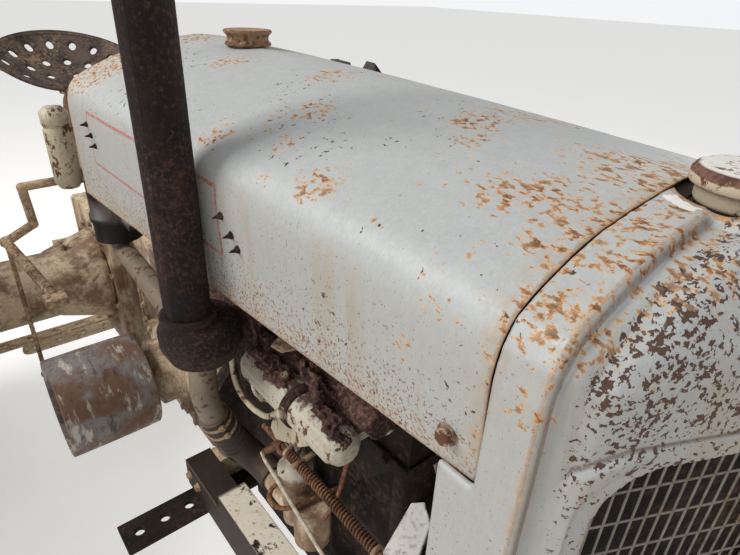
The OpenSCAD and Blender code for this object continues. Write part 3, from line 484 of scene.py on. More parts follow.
def tyre(name, axle_y, axle_z):
    """Weathered rubber, dusty in the tread, with fine rings round the sidewall."""
    f = Finish(name, 0.85, 0.0, 0.35)
    across = f.y - axle_y * MM
    high = f.z - axle_z * MM
    reach = (across * across + high * high).reckon("POWER", 0.5)
    rings = (reach * 520).wave().step(-0.2, 0.8)
    flat = f.normal.parts()[0].size().step(0.75, 0.95)
    dust = f.cloud(14, 8, 0.75) + f.lean * 0.10
    colour = f.mix(dust.step(0.38, 0.80), tone("2a2725"), tone("5e544a"))
    colour = f.mix(f.cloud(75, 7, 0.75).step(0.52, 0.75, 0, 0.5), colour, tone("7d7263"))
    height = rings * (flat * 0.35) + f.cloud(130, 6, 0.7)
    roughness = dust.step(0.3, 0.7, 0.7, 0.95)
    f.finish(colour, roughness, f.relief(height, 0.0016, 0.55, f.rounded(0.004)))


def radiator_core():
    """Dark dusty core behind the grille with level fins."""
    f = Finish("radiator_core", 0.85, 0.0, 0.3)
    fins = (f.z * 1570).wave()
    tubes = (f.x * 480).wave()
    colour = f.mottle(20, 5, 0.6, "231d19", "4a3d31")
    colour = f.mix(tubes.step(0.2, 0.8, 0, 0.4), colour, tone("5c4c3c"))
    f.finish(colour, None, f.relief(fins + tubes * 0.6, 0.002, 0.7, f.rounded(0.003)))


def mix_finishes():
    faded_paint("faded_paint", 1.1)
    faded_paint("hood_paint", 1.1, outline=True)
    faded_paint("nose_paint", 0.9)
    flaking("cream_paint", "c9bfa4", "a3957a", 0.55)
    flaking("cream_pipe", "8d7f6c", "5d5145", 0.56)
    flaking("pod_cream", "cfc8b6", "aba18c", 0.57, crust_z=0.988)
    flaking("white_flakes", "e8e6e1", "d6d2c8", 0.60)
    cap("radiator_cap", "d8d3c9", "e4e0d8", "c4b59c", 0.04, "7a5a4c")
    cap("fuel_cap", "8a6a4e", "b4957a", "8d7459", 0.10)
    rusted("rusted_casting", "1d1512", "3a2820", "6b4630", 0.02)
    rusted("stack_rust", "151011", "2a1d1a", "5a3d30", 0.05, 190)
    rusted("scaled_rust", "241816", "4c3632", "866355", 0.08, 150, 0.003)
    rusted("copper_rust", "3f2a20", "6d4b37", "9f7150", 0.10, 150)
    rusted("seat_rust", "3a302c", "5e5047", "937a5f", 0.04)
    # Near-black oily rust for the engine, also the painted shade of the sheets behind the windows and under
    # the hood seam
    rusted("black_oil_and_shade", "15110f", "2c211b", "574334", 0.0)
    rusted("pale_rod", "8d7d68", "b1a48e", "d2c8b4", 0.15)
    rusted("pale_bar", "8a6d50", "c6a986", "e6d2b2", 0.18)
    rusted("rusted_steel", "5f4431", "a08467", "c4ab8a", 0.12)
    rusted("grille_wire", "8f8a82", "a9a59c", "8a7458", 0.02)
    worn_casting("worn_casting", 0.6)
    worn_casting("axle_paint", 0.55)
    frame_paint()
    worn_steel()
    pulley_face()
    radiator_core()
    dusty_black("black_steel", "1b1a19", "5b4c3d", 0.5)
    dusty_black("hose_rubber", "3a302a", "8d7763", 0.8)
    dusty_black("tyre_rubber", "1d1c1b", "7a6c5a", 0.8, 0.001)
    tyre("front_tyre", FRONT_Y, FRONT_Z)
    tyre("rear_tyre_left", REAR_Y, REAR_Z)
    tyre("rear_tyre_right", REAR_Y, REAR_Z)


# Nodes whose finish is more particular than their slot's
NODE_FINISH = {
    "frame_rails": "frame_paint", "cross_bar": "black_oil_and_shade", "exhaust_stack": "stack_rust",
    "exhaust_elbow": "stack_rust", "seat": "seat_rust", "radiator": "radiator_core",
    "engine_block": "black_oil_and_shade", "cylinder_head": "black_oil_and_shade", "oil_pan": "black_oil_and_shade",
    "intake_manifold": "pod_cream", "final_drive": "axle_paint", "hitch_bars": "pale_bar",
}


def node_finish(node):
    return NODE_FINISH.get(node, SLOT_OF[node])


def dress_nodes():
    for name, node in NODES.items():
        node.data.materials.clear()
        node.data.materials.append(FINISH[node_finish(name)])


# Making pieces

def select_only(piece):
    bpy.ops.object.select_all(action="DESELECT")
    piece.select_set(True)
    bpy.context.view_layer.objects.active = piece


@contextmanager
def edit_mode():
    """The active piece in edit mode, with its whole mesh selected."""
    bpy.ops.object.mode_set(mode="EDIT")
    bpy.ops.mesh.select_all(action="SELECT")
    yield
    bpy.ops.object.mode_set(mode="OBJECT")


def face_outwards():
    bpy.ops.mesh.select_all(action="SELECT")
    bpy.ops.mesh.normals_make_consistent(inside=False)


def shade_round(angle):
    bpy.ops.object.shade_smooth_by_angle(angle=math.radians(angle))


def apply_modifier(piece, kind, **settings):
    """Gives the active piece a modifier with these settings and applies it."""
    modifier = piece.modifiers.new(kind.lower(), kind)
    for key, value in settings.items():
        setattr(modifier, key, value)
    bpy.ops.object.modifier_apply(modifier=modifier.name)


def settle(piece, finish, body="chassis", name=None):
    """Applies the piece's place to its mesh and gives it a finish, a body and a slot."""
    select_only(piece)
    bpy.ops.object.transform_apply(location=True, rotation=True, scale=True)
    if name:
        piece.name = name
    piece.data.materials.clear()
    piece.data.materials.append(FINISH[finish])
    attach(piece, body)
    return piece


def copy_of(node, name):
    """A merged copy of a CAD node's mesh, ready to be shaped."""
    piece = bpy.data.objects.new(name, NODES[node].data.copy())
    bpy.context.scene.collection.objects.link(piece)
    select_only(piece)
    with edit_mode():
        bpy.ops.mesh.remove_doubles(threshold=0.02 * MM)
    return piece


def smooth_copy(node):
    """The node's own shape with its round faces shaded round."""
    piece = copy_of(node, node + "_smooth")
    shade_round(35)
    settle(piece, node_finish(node), BODY_OF[node])
    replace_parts(piece, node)


def eased(points, bend):
    """The chain of points in mm with each corner turned into a short curve."""
    chain = [Vector(p) for p in points]
    line = [chain[0]]
    for before, corner, after in zip(chain, chain[1:], chain[2:]):
        cut = min(bend, (corner - before).length * 0.48, (after - corner).length * 0.48)
        a = corner + (before - corner).normalized() * cut
        b = corner + (after - corner).normalized() * cut
        for t in (0, 0.17, 0.33, 0.5, 0.67, 0.83, 1):
            line.append(a * (1 - t) ** 2 + corner * 2 * t * (1 - t) + b * t * t)
    return line + [chain[-1]]


def tube(name, points, radius, finish, bend=20, rows=4):
    """Bent rod, pipe or wire through a chain of points in mm."""
    bpy.ops.curve.primitive_bezier_curve_add()
    piece = bpy.context.object
    curve = piece.data
    curve.dimensions = "3D"
    curve.bevel_depth = radius * MM
    curve.bevel_resolution = rows
    curve.use_fill_caps = True
    curve.splines.clear()
    spline = curve.splines.new("POLY")
    line = eased(points, bend)
    spline.points.add(len(line) - 1)
    for knot, point in zip(spline.points, line):
        knot.co = (*(point * MM), 1)
    bpy.ops.object.convert(target="MESH")
    shade_round(50)
    return settle(piece, finish, name=name)


def stand(piece, place, direction, spin=0.0, scale=1.0):
    """Puts a piece that was made facing up at a place in mm, facing along the direction."""
    turn = Vector(direction).to_track_quat("Z", "Y").to_matrix().to_4x4()
    turn = turn @ Matrix.Rotation(spin, 4, "Z") @ Matrix.Scale(scale, 4)
    piece.matrix_world = Matrix.Translation(Vector(place) * MM) @ turn


def turned(name, rows, place, direction, finish, sides=56, body="chassis"):
    """Round piece grown from a disc; each row is a radius and a height along the direction, in mm."""
    foot = (0, 0, rows[0][1] * MM)
    bpy.ops.mesh.primitive_circle_add(vertices=sides, radius=rows[0][0] * MM, fill_type="NGON", location=foot)
    piece = bpy.context.object
    with edit_mode():
        for (r, z), (next_r, next_z) in zip(rows, rows[1:]):
            rise = {"value": (0, 0, (next_z - z) * MM)}
            bpy.ops.mesh.extrude_region_move(TRANSFORM_OT_translate=rise)
            bpy.ops.transform.resize(value=(next_r / r, next_r / r, 1))
        face_outwards()
    bpy.ops.object.transform_apply(location=True)
    shade_round(38)
    stand(piece, place, direction)
    return settle(piece, finish, body, name)


def plate(name, outline, thick, finish, edge=1.0):
    """Flat sheet piece with the given corners in mm and softened edges."""
    bpy.ops.mesh.primitive_circle_add(vertices=len(outline), radius=0.05, fill_type="NGON")
    piece = bpy.context.object
    for corner, point in zip(piece.data.vertices, outline):
        corner.co = Vector(point) * MM
    apply_modifier(piece, "SOLIDIFY", thickness=thick * MM, offset=0)
    apply_modifier(piece, "BEVEL", width=edge * MM, segments=2)
    with edit_mode():
        face_outwards()
    return settle(piece, finish, name=name)


def model_bolt():
    """Hex head on a washer, one unit in radius, facing up."""
    bpy.ops.mesh.primitive_cylinder_add(vertices=20, radius=1.3, depth=0.3, location=(0, 0, 0.15))
    washer = bpy.context.object
    bpy.ops.mesh.primitive_cylinder_add(vertices=6, radius=1, depth=0.85, location=(0, 0, 0.7))
    head = bpy.context.object
    for piece, edge in ((washer, 0.06), (head, 0.1)):
        bpy.context.view_layer.objects.active = piece
        apply_modifier(piece, "BEVEL", width=edge)
    washer.select_set(True)
    bpy.ops.object.join()
    bpy.ops.object.transform_apply(location=True)
    return head


def bolts(name, size, places, finish="rusted_steel", body="chassis"):
    """A set of bolts of one size; each place is a point in mm and the way the head faces."""
    bpy.ops.object.select_all(action="DESELECT")
    for i, (point, way) in enumerate(places):
        piece = bpy.data.objects.new(name, BOLT.data.copy())
        bpy.context.scene.collection.objects.link(piece)
        stand(piece, point, way, i * 0.7, size * MM)
        piece.select_set(True)
        bpy.context.view_layer.objects.active = piece
    if len(places) > 1:
        bpy.ops.object.join()
    settle(bpy.context.object, finish, body, name)


def ring(x, y, z, axis, radius, count, start=0.0):
    """Points in mm around a circle that faces along x or y."""
    places = []
    for i in range(count):
        a = math.radians(start + i * 360 / count)
        u, v = radius * math.cos(a), radius * math.sin(a)
        places.append((x, y + u, z + v) if axis == "x" else (x + u, y, z + v))
    return places


def clamp(value):
    return min(1.0, max(0.0, value))


def hump(distance, width):
    """One at nought, falling away on both sides."""
    return math.exp(-(distance / width) ** 2)


def displace(piece, push):
    """Moves each point along its normal by as many mm as push gives for the point and the normal."""
    normals = [v.normal.copy() for v in piece.data.vertices]
    for v, normal in zip(piece.data.vertices, normals):
        v.co += normal * push(v, normal) * MM


# Hood

# Share of the half width, drop below the crown in front, drop at the rear, in mm
SECTION = np.array([
    (0, 0, 0), (0.19, 4, 6), (0.39, 10, 16), (0.56, 17, 29), (0.7, 28, 42),
    (0.83, 42, 57), (0.933, 57, 72), (0.98, 77, 88), (1, 105, 116)], float)
# y, half width, crown z, lower edge z, half width at the lower edge, share of the rear drop, in mm
STATIONS = [
    (-739, 240, 1337, 1125, 232, 0.0),
    (-250, 256, 1361.5, 1105.5, 251, 0.5),
    (241, 268, 1374, 1086, 268, 1.0),
]
STATION_YS = [station[0] for station in STATIONS]
HOOD_FRONT, HOOD_REAR = STATION_YS[0], STATION_YS[-1]


def spread(line, count):
    """The given number of points, evenly spaced along the line."""
    run = np.concatenate([[0], np.cumsum(np.linalg.norm(np.diff(line, axis=0), axis=1))])
    at = np.linspace(0, run[-1], count or int(run[-1] / 3.0))
    return np.column_stack([np.interp(at, run, line[:, 0]), np.interp(at, run, line[:, 1])])


def hood_section(station, count):
    """Evenly spaced, slightly rounded points over one cross-section, with a rolled lip at each end."""
    _, half, crown, low, low_half, share = station
    lip, rounds, fixed_end = 5.0, 14, 9
    drop = SECTION[:, 1] * (1 - share) + SECTION[:, 2] * share
    right = np.column_stack([SECTION[:, 0] * half, crown - drop])
    turns = np.radians(np.arange(-30, -250, -30))
    roll = np.column_stack([low_half - lip + lip * np.cos(turns), low + lip * np.sin(turns)])
    side = np.vstack([right, [low_half, low], roll])
    line = spread(np.vstack([side[::-1] * (-1, 1), side[1:]]), None)
    for _ in range(rounds):
        inner = slice(fixed_end, -fixed_end)
        before = line[fixed_end - 1:-fixed_end - 1]
        after = line[fixed_end + 1:-fixed_end + 1]
        line[inner] = (before + 2 * line[inner] + after) / 4
    return spread(line, count)


def sheet_grid(across, along):
    """A flat grid, and for each of its points the column, and how far along it lies from -1 to 1."""
    bpy.ops.mesh.primitive_grid_add(x_subdivisions=across - 1, y_subdivisions=along - 1, size=2)
    piece = bpy.context.object
    return piece, [(v, round((v.co.x + 1) / 2 * (across - 1)), v.co.y) for v in piece.data.vertices]


def make_hood():
    """Lofted sheet from the nose seam to the rear, a little dented, with its lower edges rolled in."""
    across, lip_columns, worn = 150, 3, 40
    sections = [hood_section(station, across) for station in STATIONS]
    piece, points = sheet_grid(across, 110)
    piece.name = "hood_sheet"
    edge = piece.data.attributes.new("edge", "FLOAT", "POINT")
    for v, column, along in points:
        y = HOOD_FRONT + (HOOD_REAR - HOOD_FRONT) * (along + 1) / 2
        x = z = 0
        for own, section in zip(STATION_YS, sections):
            share = math.prod((y - other) / (own - other) for other in STATION_YS if other != own)
            x += share * section[column][0]
            z += share * section[column][1]
        spot = Vector((x, y, z))
        dent = min(0.0, 1.3 * noise.noise(spot * 0.009) + 0.6 * noise.noise(spot * 0.03))
        on_top = 0.8 if z > 1200 else 0
        v.co = Vector((x - math.copysign(dent, x) * 0.7, y, z + dent * on_top)) * MM
        from_lip = 6 * max(min(column, across - 1 - column) - lip_columns, 0)
        gap = min(y - HOOD_FRONT, HOOD_REAR - y, from_lip)
        edge.data[v.index].value = max(0.0, 1 - gap / worn)
    apply_modifier(piece, "SOLIDIFY", thickness=2.2 * MM, offset=-1)
    apply_modifier(piece, "BEVEL", width=0.6 * MM, segments=2, angle_limit=math.radians(50))
    shade_round(40)
    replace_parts(settle(piece, "hood_paint"), "hood")


def make_seam_channel():
    """Dark channel under the hood's front edge, painted shade that backs the seam."""
    across, half_width, drop, roof_z = 110, 14, 7, 1130
    section = hood_section(STATIONS[0], across)
    piece, points = sheet_grid(across, 4)
    for v, column, along in points:
        x, z = section[column]
        v.co = Vector((x * 0.965, HOOD_FRONT + along * half_width, z - drop if z > roof_z else z)) * MM
    apply_modifier(piece, "SOLIDIFY", thickness=2 * MM)
    shade_round(40)
    settle(piece, "black_oil_and_shade", name="seam_shade")


# Nose, whose two flat windows lean back from its tip

SWEEP = math.radians(26)
TIP_Y = -916
WINDOW_Z = 1041
# Where the groove's rear rim lies, and half the width of the crest that it stops short of, in mm
GROOVE_Y = -780
CREST = 54


def groove(x, y):
    """The groove round the nose: how far it pushes the sheet out, its worn edge and the painted shade down
    its rear wall.
    """
    fade = min(1.0, (abs(x) - CREST) / 9)
    behind = y - GROOVE_Y
    ahead = -3 - behind
    hollow = clamp(ahead / 4) * (0.5 + 0.5 * math.cos(math.pi * clamp((ahead - 15) / 24)))
    push = fade * (1.8 * hump(behind, 4) - 8 * hollow)
    return push, fade * hump(behind, 6), 0.75 * fade * hump(behind + 6, 3)


def window_rim(x, y, z, normal):
    """The raised frame round a window: how far it pushes the sheet out and the painted shade round its outer
    foot, or None.
    """
    side = 1 if x > 0 else -1
    u = side * (x * math.cos(SWEEP) + side * y * math.sin(SWEEP)) - TIP_Y * math.sin(SWEEP)
    depth = y * math.cos(SWEEP) - side * x * math.sin(SWEEP) - TIP_Y * math.cos(SWEEP)
    facing = normal.dot(Vector((side * math.sin(SWEEP), -math.cos(SWEEP), 0)))
    if abs(depth) >= 12 or facing <= 0.4 or u <= 4:
        return None
    # The window's middle, its half sizes inside the corners, and their radius
    mid_u, half_u, half_z, corner = 136, 66, 98, 58
    gap = math.hypot(max(abs(u - mid_u) - half_u, 0), max(abs(z - WINDOW_Z) - half_z, 0)) - corner
    firm = min(1.0, (facing - 0.4) / 0.35)
    return firm * (3.6 * clamp((3 - gap) / 5) - 1.4 * hump(gap - 6, 3)), 0.9 * firm * hump(gap - 4.5, 2.6)


def make_nose():
    """The nose shell as pressed sheet, with its swept groove and the raised rim round each window."""
    piece = copy_of("nose_shell", "nose_pressing")
    lining = copy_of("nose_shell", "nose_lining")
    middle = Vector((0, -0.7, 1.08))
    shrink = Matrix.Translation(middle) @ Matrix.Scale(0.99, 4) @ Matrix.Translation(-middle)
    lining.data.transform(shrink)
    piece.select_set(True)
    bpy.context.view_layer.objects.active = piece
    bpy.ops.object.join()
    apply_modifier(piece, "REMESH", mode="VOXEL", voxel_size=3 * MM)
    apply_modifier(piece, "SMOOTH", factor=0.5, iterations=4)
    # Marks on the sheet: worn rims, painted shade at the groove's rear wall and round each window frame, and
    # bare patches
    marks = [piece.data.attributes.new(name, "FLOAT", "POINT") for name in ("edge", "crease_shade", "bare")]
    edge, crease_shade, bare = marks

    def press(v, normal):
        x, y, z = v.co * 1000
        push = 0.0
        outward = normal.dot((v.co - Vector((0, -0.7, 1.05))).normalized())
        if outward > 0.15 and abs(x) > CREST:
            push, edge.data[v.index].value, crease_shade.data[v.index].value = groove(x, y)
        rim = window_rim(x, y, z, normal)
        if rim:
            push += rim[0]
            crease_shade.data[v.index].value = rim[1]
        # A rust ring round the cap, with a bare patch on each side
        reach, angle = math.hypot(x, y - CAP_Y), math.degrees(math.atan2(y - CAP_Y, x))
        if z > 1300 and reach < 72:
            edge.data[v.index].value = max(0.0, min(0.97, 1.4 - (reach - 50) / 20))
            if 59 < reach < 69 and (140 < angle < 168 or 12 < angle < 32):
                bare.data[v.index].value = 1.0
        return push

    displace(piece, press)
    apply_modifier(piece, "SMOOTH", factor=0.5, iterations=2)
    bpy.ops.object.shade_smooth()
    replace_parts(settle(piece, "nose_paint"), "nose_shell")


def make_shade_screens():
    """Dark sheet behind each window, painted shade for the dark inside of the nose."""
    for side, name in SIDES:
        turn = Matrix.Rotation(side * SWEEP, 4, "Z")
        corners = [(14, 892), (234, 892), (234, 1190), (14, 1190)]
        back_y = TIP_Y * math.cos(SWEEP) + 19
        outline = [turn @ Vector((side * (u + TIP_Y * math.sin(SWEEP)), back_y, z)) for u, z in corners]
        plate("shade_screen_" + name, outline, 1.5, "black_oil_and_shade", 0.4)


def make_grille():
    """Slotted sheet behind each window: thin upright wires crossed by level wires of the same thickness."""
    width, height, depth = 204, 284, 9.5
    for side, name in SIDES:
        bpy.ops.mesh.primitive_grid_add(x_subdivisions=16, y_subdivisions=8, size=1)
        piece = bpy.context.object
        x = side * (TIP_Y * math.sin(SWEEP) + 22 + width / 2)
        middle = Vector((x, TIP_Y * math.cos(SWEEP) + depth, WINDOW_Z)) * MM
        upright = Matrix.Rotation(math.radians(90), 4, "X") @ Matrix.Diagonal((width * MM, height * MM, 1, 1))
        piece.matrix_world = Matrix.Rotation(side * SWEEP, 4, "Z") @ Matrix.Translation(middle) @ upright
        bpy.ops.object.transform_apply(location=True, rotation=True, scale=True)
        apply_modifier(piece, "WIREFRAME", thickness=2.6 * MM, use_even_offset=True, use_boundary=True)
        settle(piece, "grille_wire", name="grille_wires_" + name)
        if name == "left":
            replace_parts(piece, "grille")


# Caps and exhaust

def make_caps():
    """Radiator and fuel caps with their rolled rims."""
    rows = [
        (37, 0), (38, 0.8), (39, 3), (39.3, 13), (40.5, 14.5), (44.8, 15), (46, 17), (46.2, 21),
        (45.4, 25), (43, 28.5), (39, 30.4), (33, 31), (20, 31.6), (4, 31.9),
    ]
    piece = turned("radiator_cap_turned", rows, (0, CAP_Y, 1326.5), UP, "radiator_cap")
    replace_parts(piece, "radiator_cap")
    rows = [
        (38, 0), (40, 0.6), (41, 3), (39.5, 5), (37, 7), (36, 10), (36.2, 14), (38, 17.5), (41, 20),
        (42.3, 22), (42.3, 24.2), (40.5, 25.8), (36, 26), (33, 25.2), (5, 25.5),
    ]
    foot_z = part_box("fuel_cap")[0][2] / MM
    piece = turned("fuel_cap_turned", rows, (0, 31, foot_z), UP, "fuel_cap")
    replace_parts(piece, "fuel_cap")


def make_stack_foot():
    """Three-bolt flange and the band where the stack drops into its socket."""
    flange = [(25, 0), (33, 0), (34, 1), (34, 8), (33, 9), (26, 9)]
    flange_z = 1028
    turned("elbow_flange", flange, (-213.4, STACK_Y, flange_z), RIGHTWARD, "stack_rust")
    heads = [(-222.5, STACK_Y + y, flange_z + z) for y, z in ((27, 17), (-27, 17), (0, -31))]
    bolts("elbow_bolts", 6.5, [(head, RIGHTWARD) for head in heads], "stack_rust")
    band = [(30.3, 0), (36, 0), (37.5, 1.5), (37.5, 9), (36, 10.5), (30.3, 10.5)]
    turned("stack_band", band, (STACK_X, STACK_Y, 1072), UP, "stack_rust")


def crust(piece, voxel, depth, coarse, fine, octaves, knobs, sink=0.0):
    """Eats the active piece's surface into scaling rust, with lumps of about depth mm."""
    apply_modifier(piece, "REMESH", mode="VOXEL", voxel_size=voxel * MM)

    def swell(v, normal):
        lumps = noise.fractal(v.co * coarse, 1.0, 2.0, octaves)
        return depth * (lumps + knobs * abs(noise.noise(v.co * fine)) - sink)

    displace(piece, swell)
    bpy.ops.object.shade_smooth()


def make_exhaust_log():
    """The exhaust manifold, thickened and eaten by scaling rust."""
    piece = copy_of("exhaust_manifold", "exhaust_manifold_crust")
    crust(piece, 3, 3.5, 60, 162, 4, 0.7)
    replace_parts(settle(piece, "scaled_rust"), "exhaust_manifold")


def make_scale():
    """Two jagged clusters of scaled rust on the exhaust log, and a tan scrap of sheet."""
    # middle and size of each lump in mm
    front = [
        (-192, -440, 1018, 9, 30, 46), (-197, -466, 1008, 10, 32, 38), (-204, -494, 1000, 16, 46, 15),
        (-208, -522, 991, 14, 36, 11), (-180, -470, 1002, 22, 90, 16),
    ]
    rear = [
        (-200, -302, 1000, 18, 44, 18), (-195, -330, 1014, 10, 34, 40), (-204, -360, 999, 22, 62, 15),
        (-212, -398, 993, 16, 48, 13), (-180, -350, 1002, 22, 90, 18),
    ]
    for name, lumps in (("rust_scale_1", rear), ("rust_scale_2", front)):
        cluster = None
        for k, (x, y, z, *size) in enumerate(lumps):
            place = (x * MM, y * MM, z * MM)
            turn = (0.25 * k - 0.3, 0.2 * k - 0.4, 0.3 * k - 0.5)
            bpy.ops.mesh.primitive_cube_add(size=MM, location=place, rotation=turn)
            bpy.context.object.scale = size
            if cluster:
                cluster.select_set(True)
                bpy.context.view_layer.objects.active = cluster
                bpy.ops.object.join()
            cluster = bpy.context.object
        bpy.ops.object.transform_apply(location=True, rotation=True, scale=True)
        crust(cluster, 1.8, 6, 75, 210, 5, 0.8, 0.4)
        settle(cluster, "scaled_rust", name=name)
    scrap = [
        (-205, -364, 1030), (-184, -352, 1033), (-166, -372, 1034), (-176, -396, 1032),
        (-200, -384, 1029),
    ]
    plate("heat_shield_scrap", scrap, 3, "rusted_steel")


# The engine's right side and its wiring

ROD_X, ROD_Z = -200, 848


def make_governor_spring():
    """Coil spring round the governor rod, between two seats."""
    turns, length, coil_radius = 36, 199, 7.2
    bpy.ops.mesh.primitive_circle_add(vertices=9, radius=1.45 * MM)
    spring = bpy.context.object
    with edit_mode():
        bpy.ops.transform.translate(value=(coil_radius * MM, 0, 0))
    apply_modifier(spring, "SCREW", axis="Y", steps=16, render_steps=16, iterations=turns,
                   screw_offset=length / turns * MM)
    with edit_mode():
        bpy.ops.mesh.fill_holes(sides=0)
        face_outwards()
    shade_round(60)
    spring.location = Vector((ROD_X, -593, ROD_Z)) * MM
    settle(spring, "copper_rust", name="governor_spring")
    seat = [(5, 0), (9, 0), (10, 1), (10, 4), (9, 5), (5, 5)]
    for number, y in (("1", -599), ("2", -393)):
        turned("spring_seat_" + number, seat, (ROD_X, y, ROD_Z), REARWARD, "rusted_steel", 28)


def make_governor_linkage():
    """Governor rod with its spring and post, and the bent rods and tubes round the carburettor."""
    x, z = ROD_X, ROD_Z
    rod = tube("governor_rod", [(x, -640, z), (x, -318, z)], 4.6, "copper_rust")
    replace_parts(rod, "governor_linkage")
    make_governor_spring()
    post = [(18, 0), (18, 10), (16, 14), (8, 16), (7, 22), (7, 300), (9, 303), (9, 311), (6, 313)]
    turned("governor_post", post, (x, -640, 545.3), UP, "worn_casting", 32)
    # name, radius in mm, finish, bend in mm, points in mm
    rods = [
        ("governor_eye", 3.6, "copper_rust", 8, [
            (x + 11, -376, z + 2), (x + 6, -366, z + 4), (x - 8, -372, z + 2), (x - 11, -384, z),
            (x - 2, -392, z - 1), (x + 10, -386, z)]),
        ("governor_hook", 5.2, "copper_rust", 12, [
            (-114, -301, 790), (-206, -318, 792), (-203, -350, 826), (x - 4, -368, z + 2)]),
        ("throttle_bow", 4, "copper_rust", 14, [
            (-114, -330, 735), (-182, -343, 734), (-205, -339, 728), (-218, -349, 723),
            (-219, -372, 722), (-201, -389, 722), (-165, -395, 722), (-114, -402, 722)]),
        ("throttle_rod", 3.4, "pale_rod", 10, [
            (-198, -298, 772), (x, -310, 766), (x, -480, 706), (x, -636, 651)]),
        ("short_lever", 4.6, "rusted_steel", 8, [
            (-212, -420, z + 2), (-164, -416, z + 4), (-118, -412, z - 20)]),
        ("primer_tube", 4.6, "cream_paint", 26, [
            (-118, -186, 985), (-186, -196, 960), (-196, -207, 915), (-200, -222, 866),
            (-200, -273, 853), (-200, -330, 872), (-196, -356, 900), (-170, -366, 905)]),
        ("choke_strap", 3.2, "pale_rod", 12, [
            (-140, -262, 975), (-196, -270, 945), (-200, -294, 894), (-175, -300, 870)]),
        ("fuel_line", 3.4, "copper_rust", 22, [
            (-165, -398, 700), (-165, -430, 706), (-150, -446, 760), (-118, -452, 900),
            (-116, -470, 1060), (-90, -440, 1160)]),
    ]
    for name, radius, finish, bend, points in rods:
        tube(name, points, radius, finish, bend)


def make_intake():
    """Bracket under the cream pods, the clip between them and their flange nuts."""
    bracket = [
        (-196, -337, 856), (-190, -345, 905), (-192, -371, 934), (-196, -430, 938),
        (-200, -462, 922), (-202, -430, 893), (-202, -392, 872), (-200, -360, 852),
    ]
    plate("intake_bracket", bracket, 7, "cream_paint", 1.5)
    clip = [(28.4, 0), (31, 0), (32, 1.5), (32, 14), (31, 15.5), (28.4, 15.5)]
    turned("pod_clip", clip, (-200, -437, 967), REARWARD, "stack_rust", 40)
    pods = [
        ((-229, -430, 972), (-1, 0, 0.2)), ((-205, -395, 996), UP), ((-215, -352, 940), (-1, 0, -0.3)),
    ]
    bolts("pod_bolts", 7, pods, "cream_paint")
    ports = [(y, 972) for y in (-535, -465, -385, -315)] + [(y, 990) for y in (-265, -215, -150)]
    bolts("port_nuts", 7, [((-123, y, z), RIGHTWARD) for y, z in ports], "stack_rust")


def make_breathing():
    """Smooth bent air pipe and the ribbed hose with its clamps."""
    pipe = [
        (-205, 312, 949.7), (-205, 304, 918), (-217, 60, 922), (-234, -185, 924),
        (-250, -209, 880), (-248, -209, 850), (-238, -209, 810),
    ]
    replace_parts(tube("air_pipe_bent", pipe, 22.5, "cream_pipe", 44, 8), "air_pipe")
    hose = [(-239, -209, 812), (-222, -209, 764), (-184, -209, 692), (-165, -236, 665), (-165, -274.7, 665)]
    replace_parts(tube("air_hose_bent", hose, 27, "hose_rubber", 40, 8), "air_hose")
    down = Vector((18, 0, -48)).normalized()
    top = Vector((-237, -209, 806))
    clamps, ribs = (4, 26), (44, 58, 72, 84)
    for i, gap in enumerate(clamps + ribs):
        wide, finish = (6, "rusted_steel") if gap in clamps else (3, "hose_rubber")
        rows = [(27, 0), (28.4, 0.3), (28.8, wide / 2), (28.4, wide - 0.3), (27, wide)]
        turned("hose_band_" + str(i + 1), rows, top + down * gap, down, finish, 40)
    ears = [(top + down * (gap + 3) + Vector((-4, -30, 4)), (0, -1, 0)) for gap in clamps]
    bolts("clamp_bolts", 5, ears)


def make_wiring():
    """Spark plugs and their leads over the head."""
    plug = [(11, 0), (11, 10), (7, 12), (6.4, 30), (3.4, 32), (3.4, 42)]
    for i, y in enumerate((-470, -360, -250, -140)):
        number = str(i + 1)
        lead = [
            (40, y, 1010), (44, y - 4, 1052), (96, y - 12, 1062),
            (136, -430 + i * 12, 980), (150, -428 + i * 12, 784),
        ]
        tube("spark_lead_" + number, lead, 3.6, "black_steel", 24, 2)
        turned("spark_plug_" + number, plug, (40, y, 1008), UP, "cream_paint", 20)


def make_radiator_strap():
    """Chipped white strap beside the radiator, with the rod that braces it."""
    outline = [(-233, -640, 924), (-172, -620, 938), (-160, -630, 940), (-173, -654, 936), (-210, -672, 926)]
    plate("radiator_strap", outline, 6, "white_flakes", 1.2)
    tube("strap_brace", [(-196, -652, 920), (-194, -700, 926), (-190, -752, 930)], 5, "black_oil_and_shade")


# Seat, pulley and tyres

def make_seat_rim():
    """Rolled edge round the pan, following its front notch."""
    seat_x, bowl_y, bowl_z, bowl = -50, 1166, 1430, 298
    rim_y, rim, front_y = 1212, 212, 1120.5
    notch_y, notch = 1160, 39.5

    def arc(y, radius, start, end, count):
        turns = np.radians(np.linspace(start, end, count))
        return [(seat_x + radius * math.cos(a), y + radius * math.sin(a)) for a in turns]

    line = arc(rim_y, rim, -25.5, 205.5, 44)
    line += [(x, front_y) for x in np.linspace(-225, -100, 7)] + [(-90, 1124)]
    line += arc(notch_y, notch, 180, 0, 9)
    line += [(-10, 1124)] + [(x, front_y) for x in np.linspace(0, 125, 7)]
    line.append(line[0])
    pan = [(x, y, bowl_z - math.sqrt(bowl ** 2 - (x - seat_x) ** 2 - (y - bowl_y) ** 2)) for x, y in line]
    tube("seat_rim", pan, 5.2, "seat_rust", 3, 3)


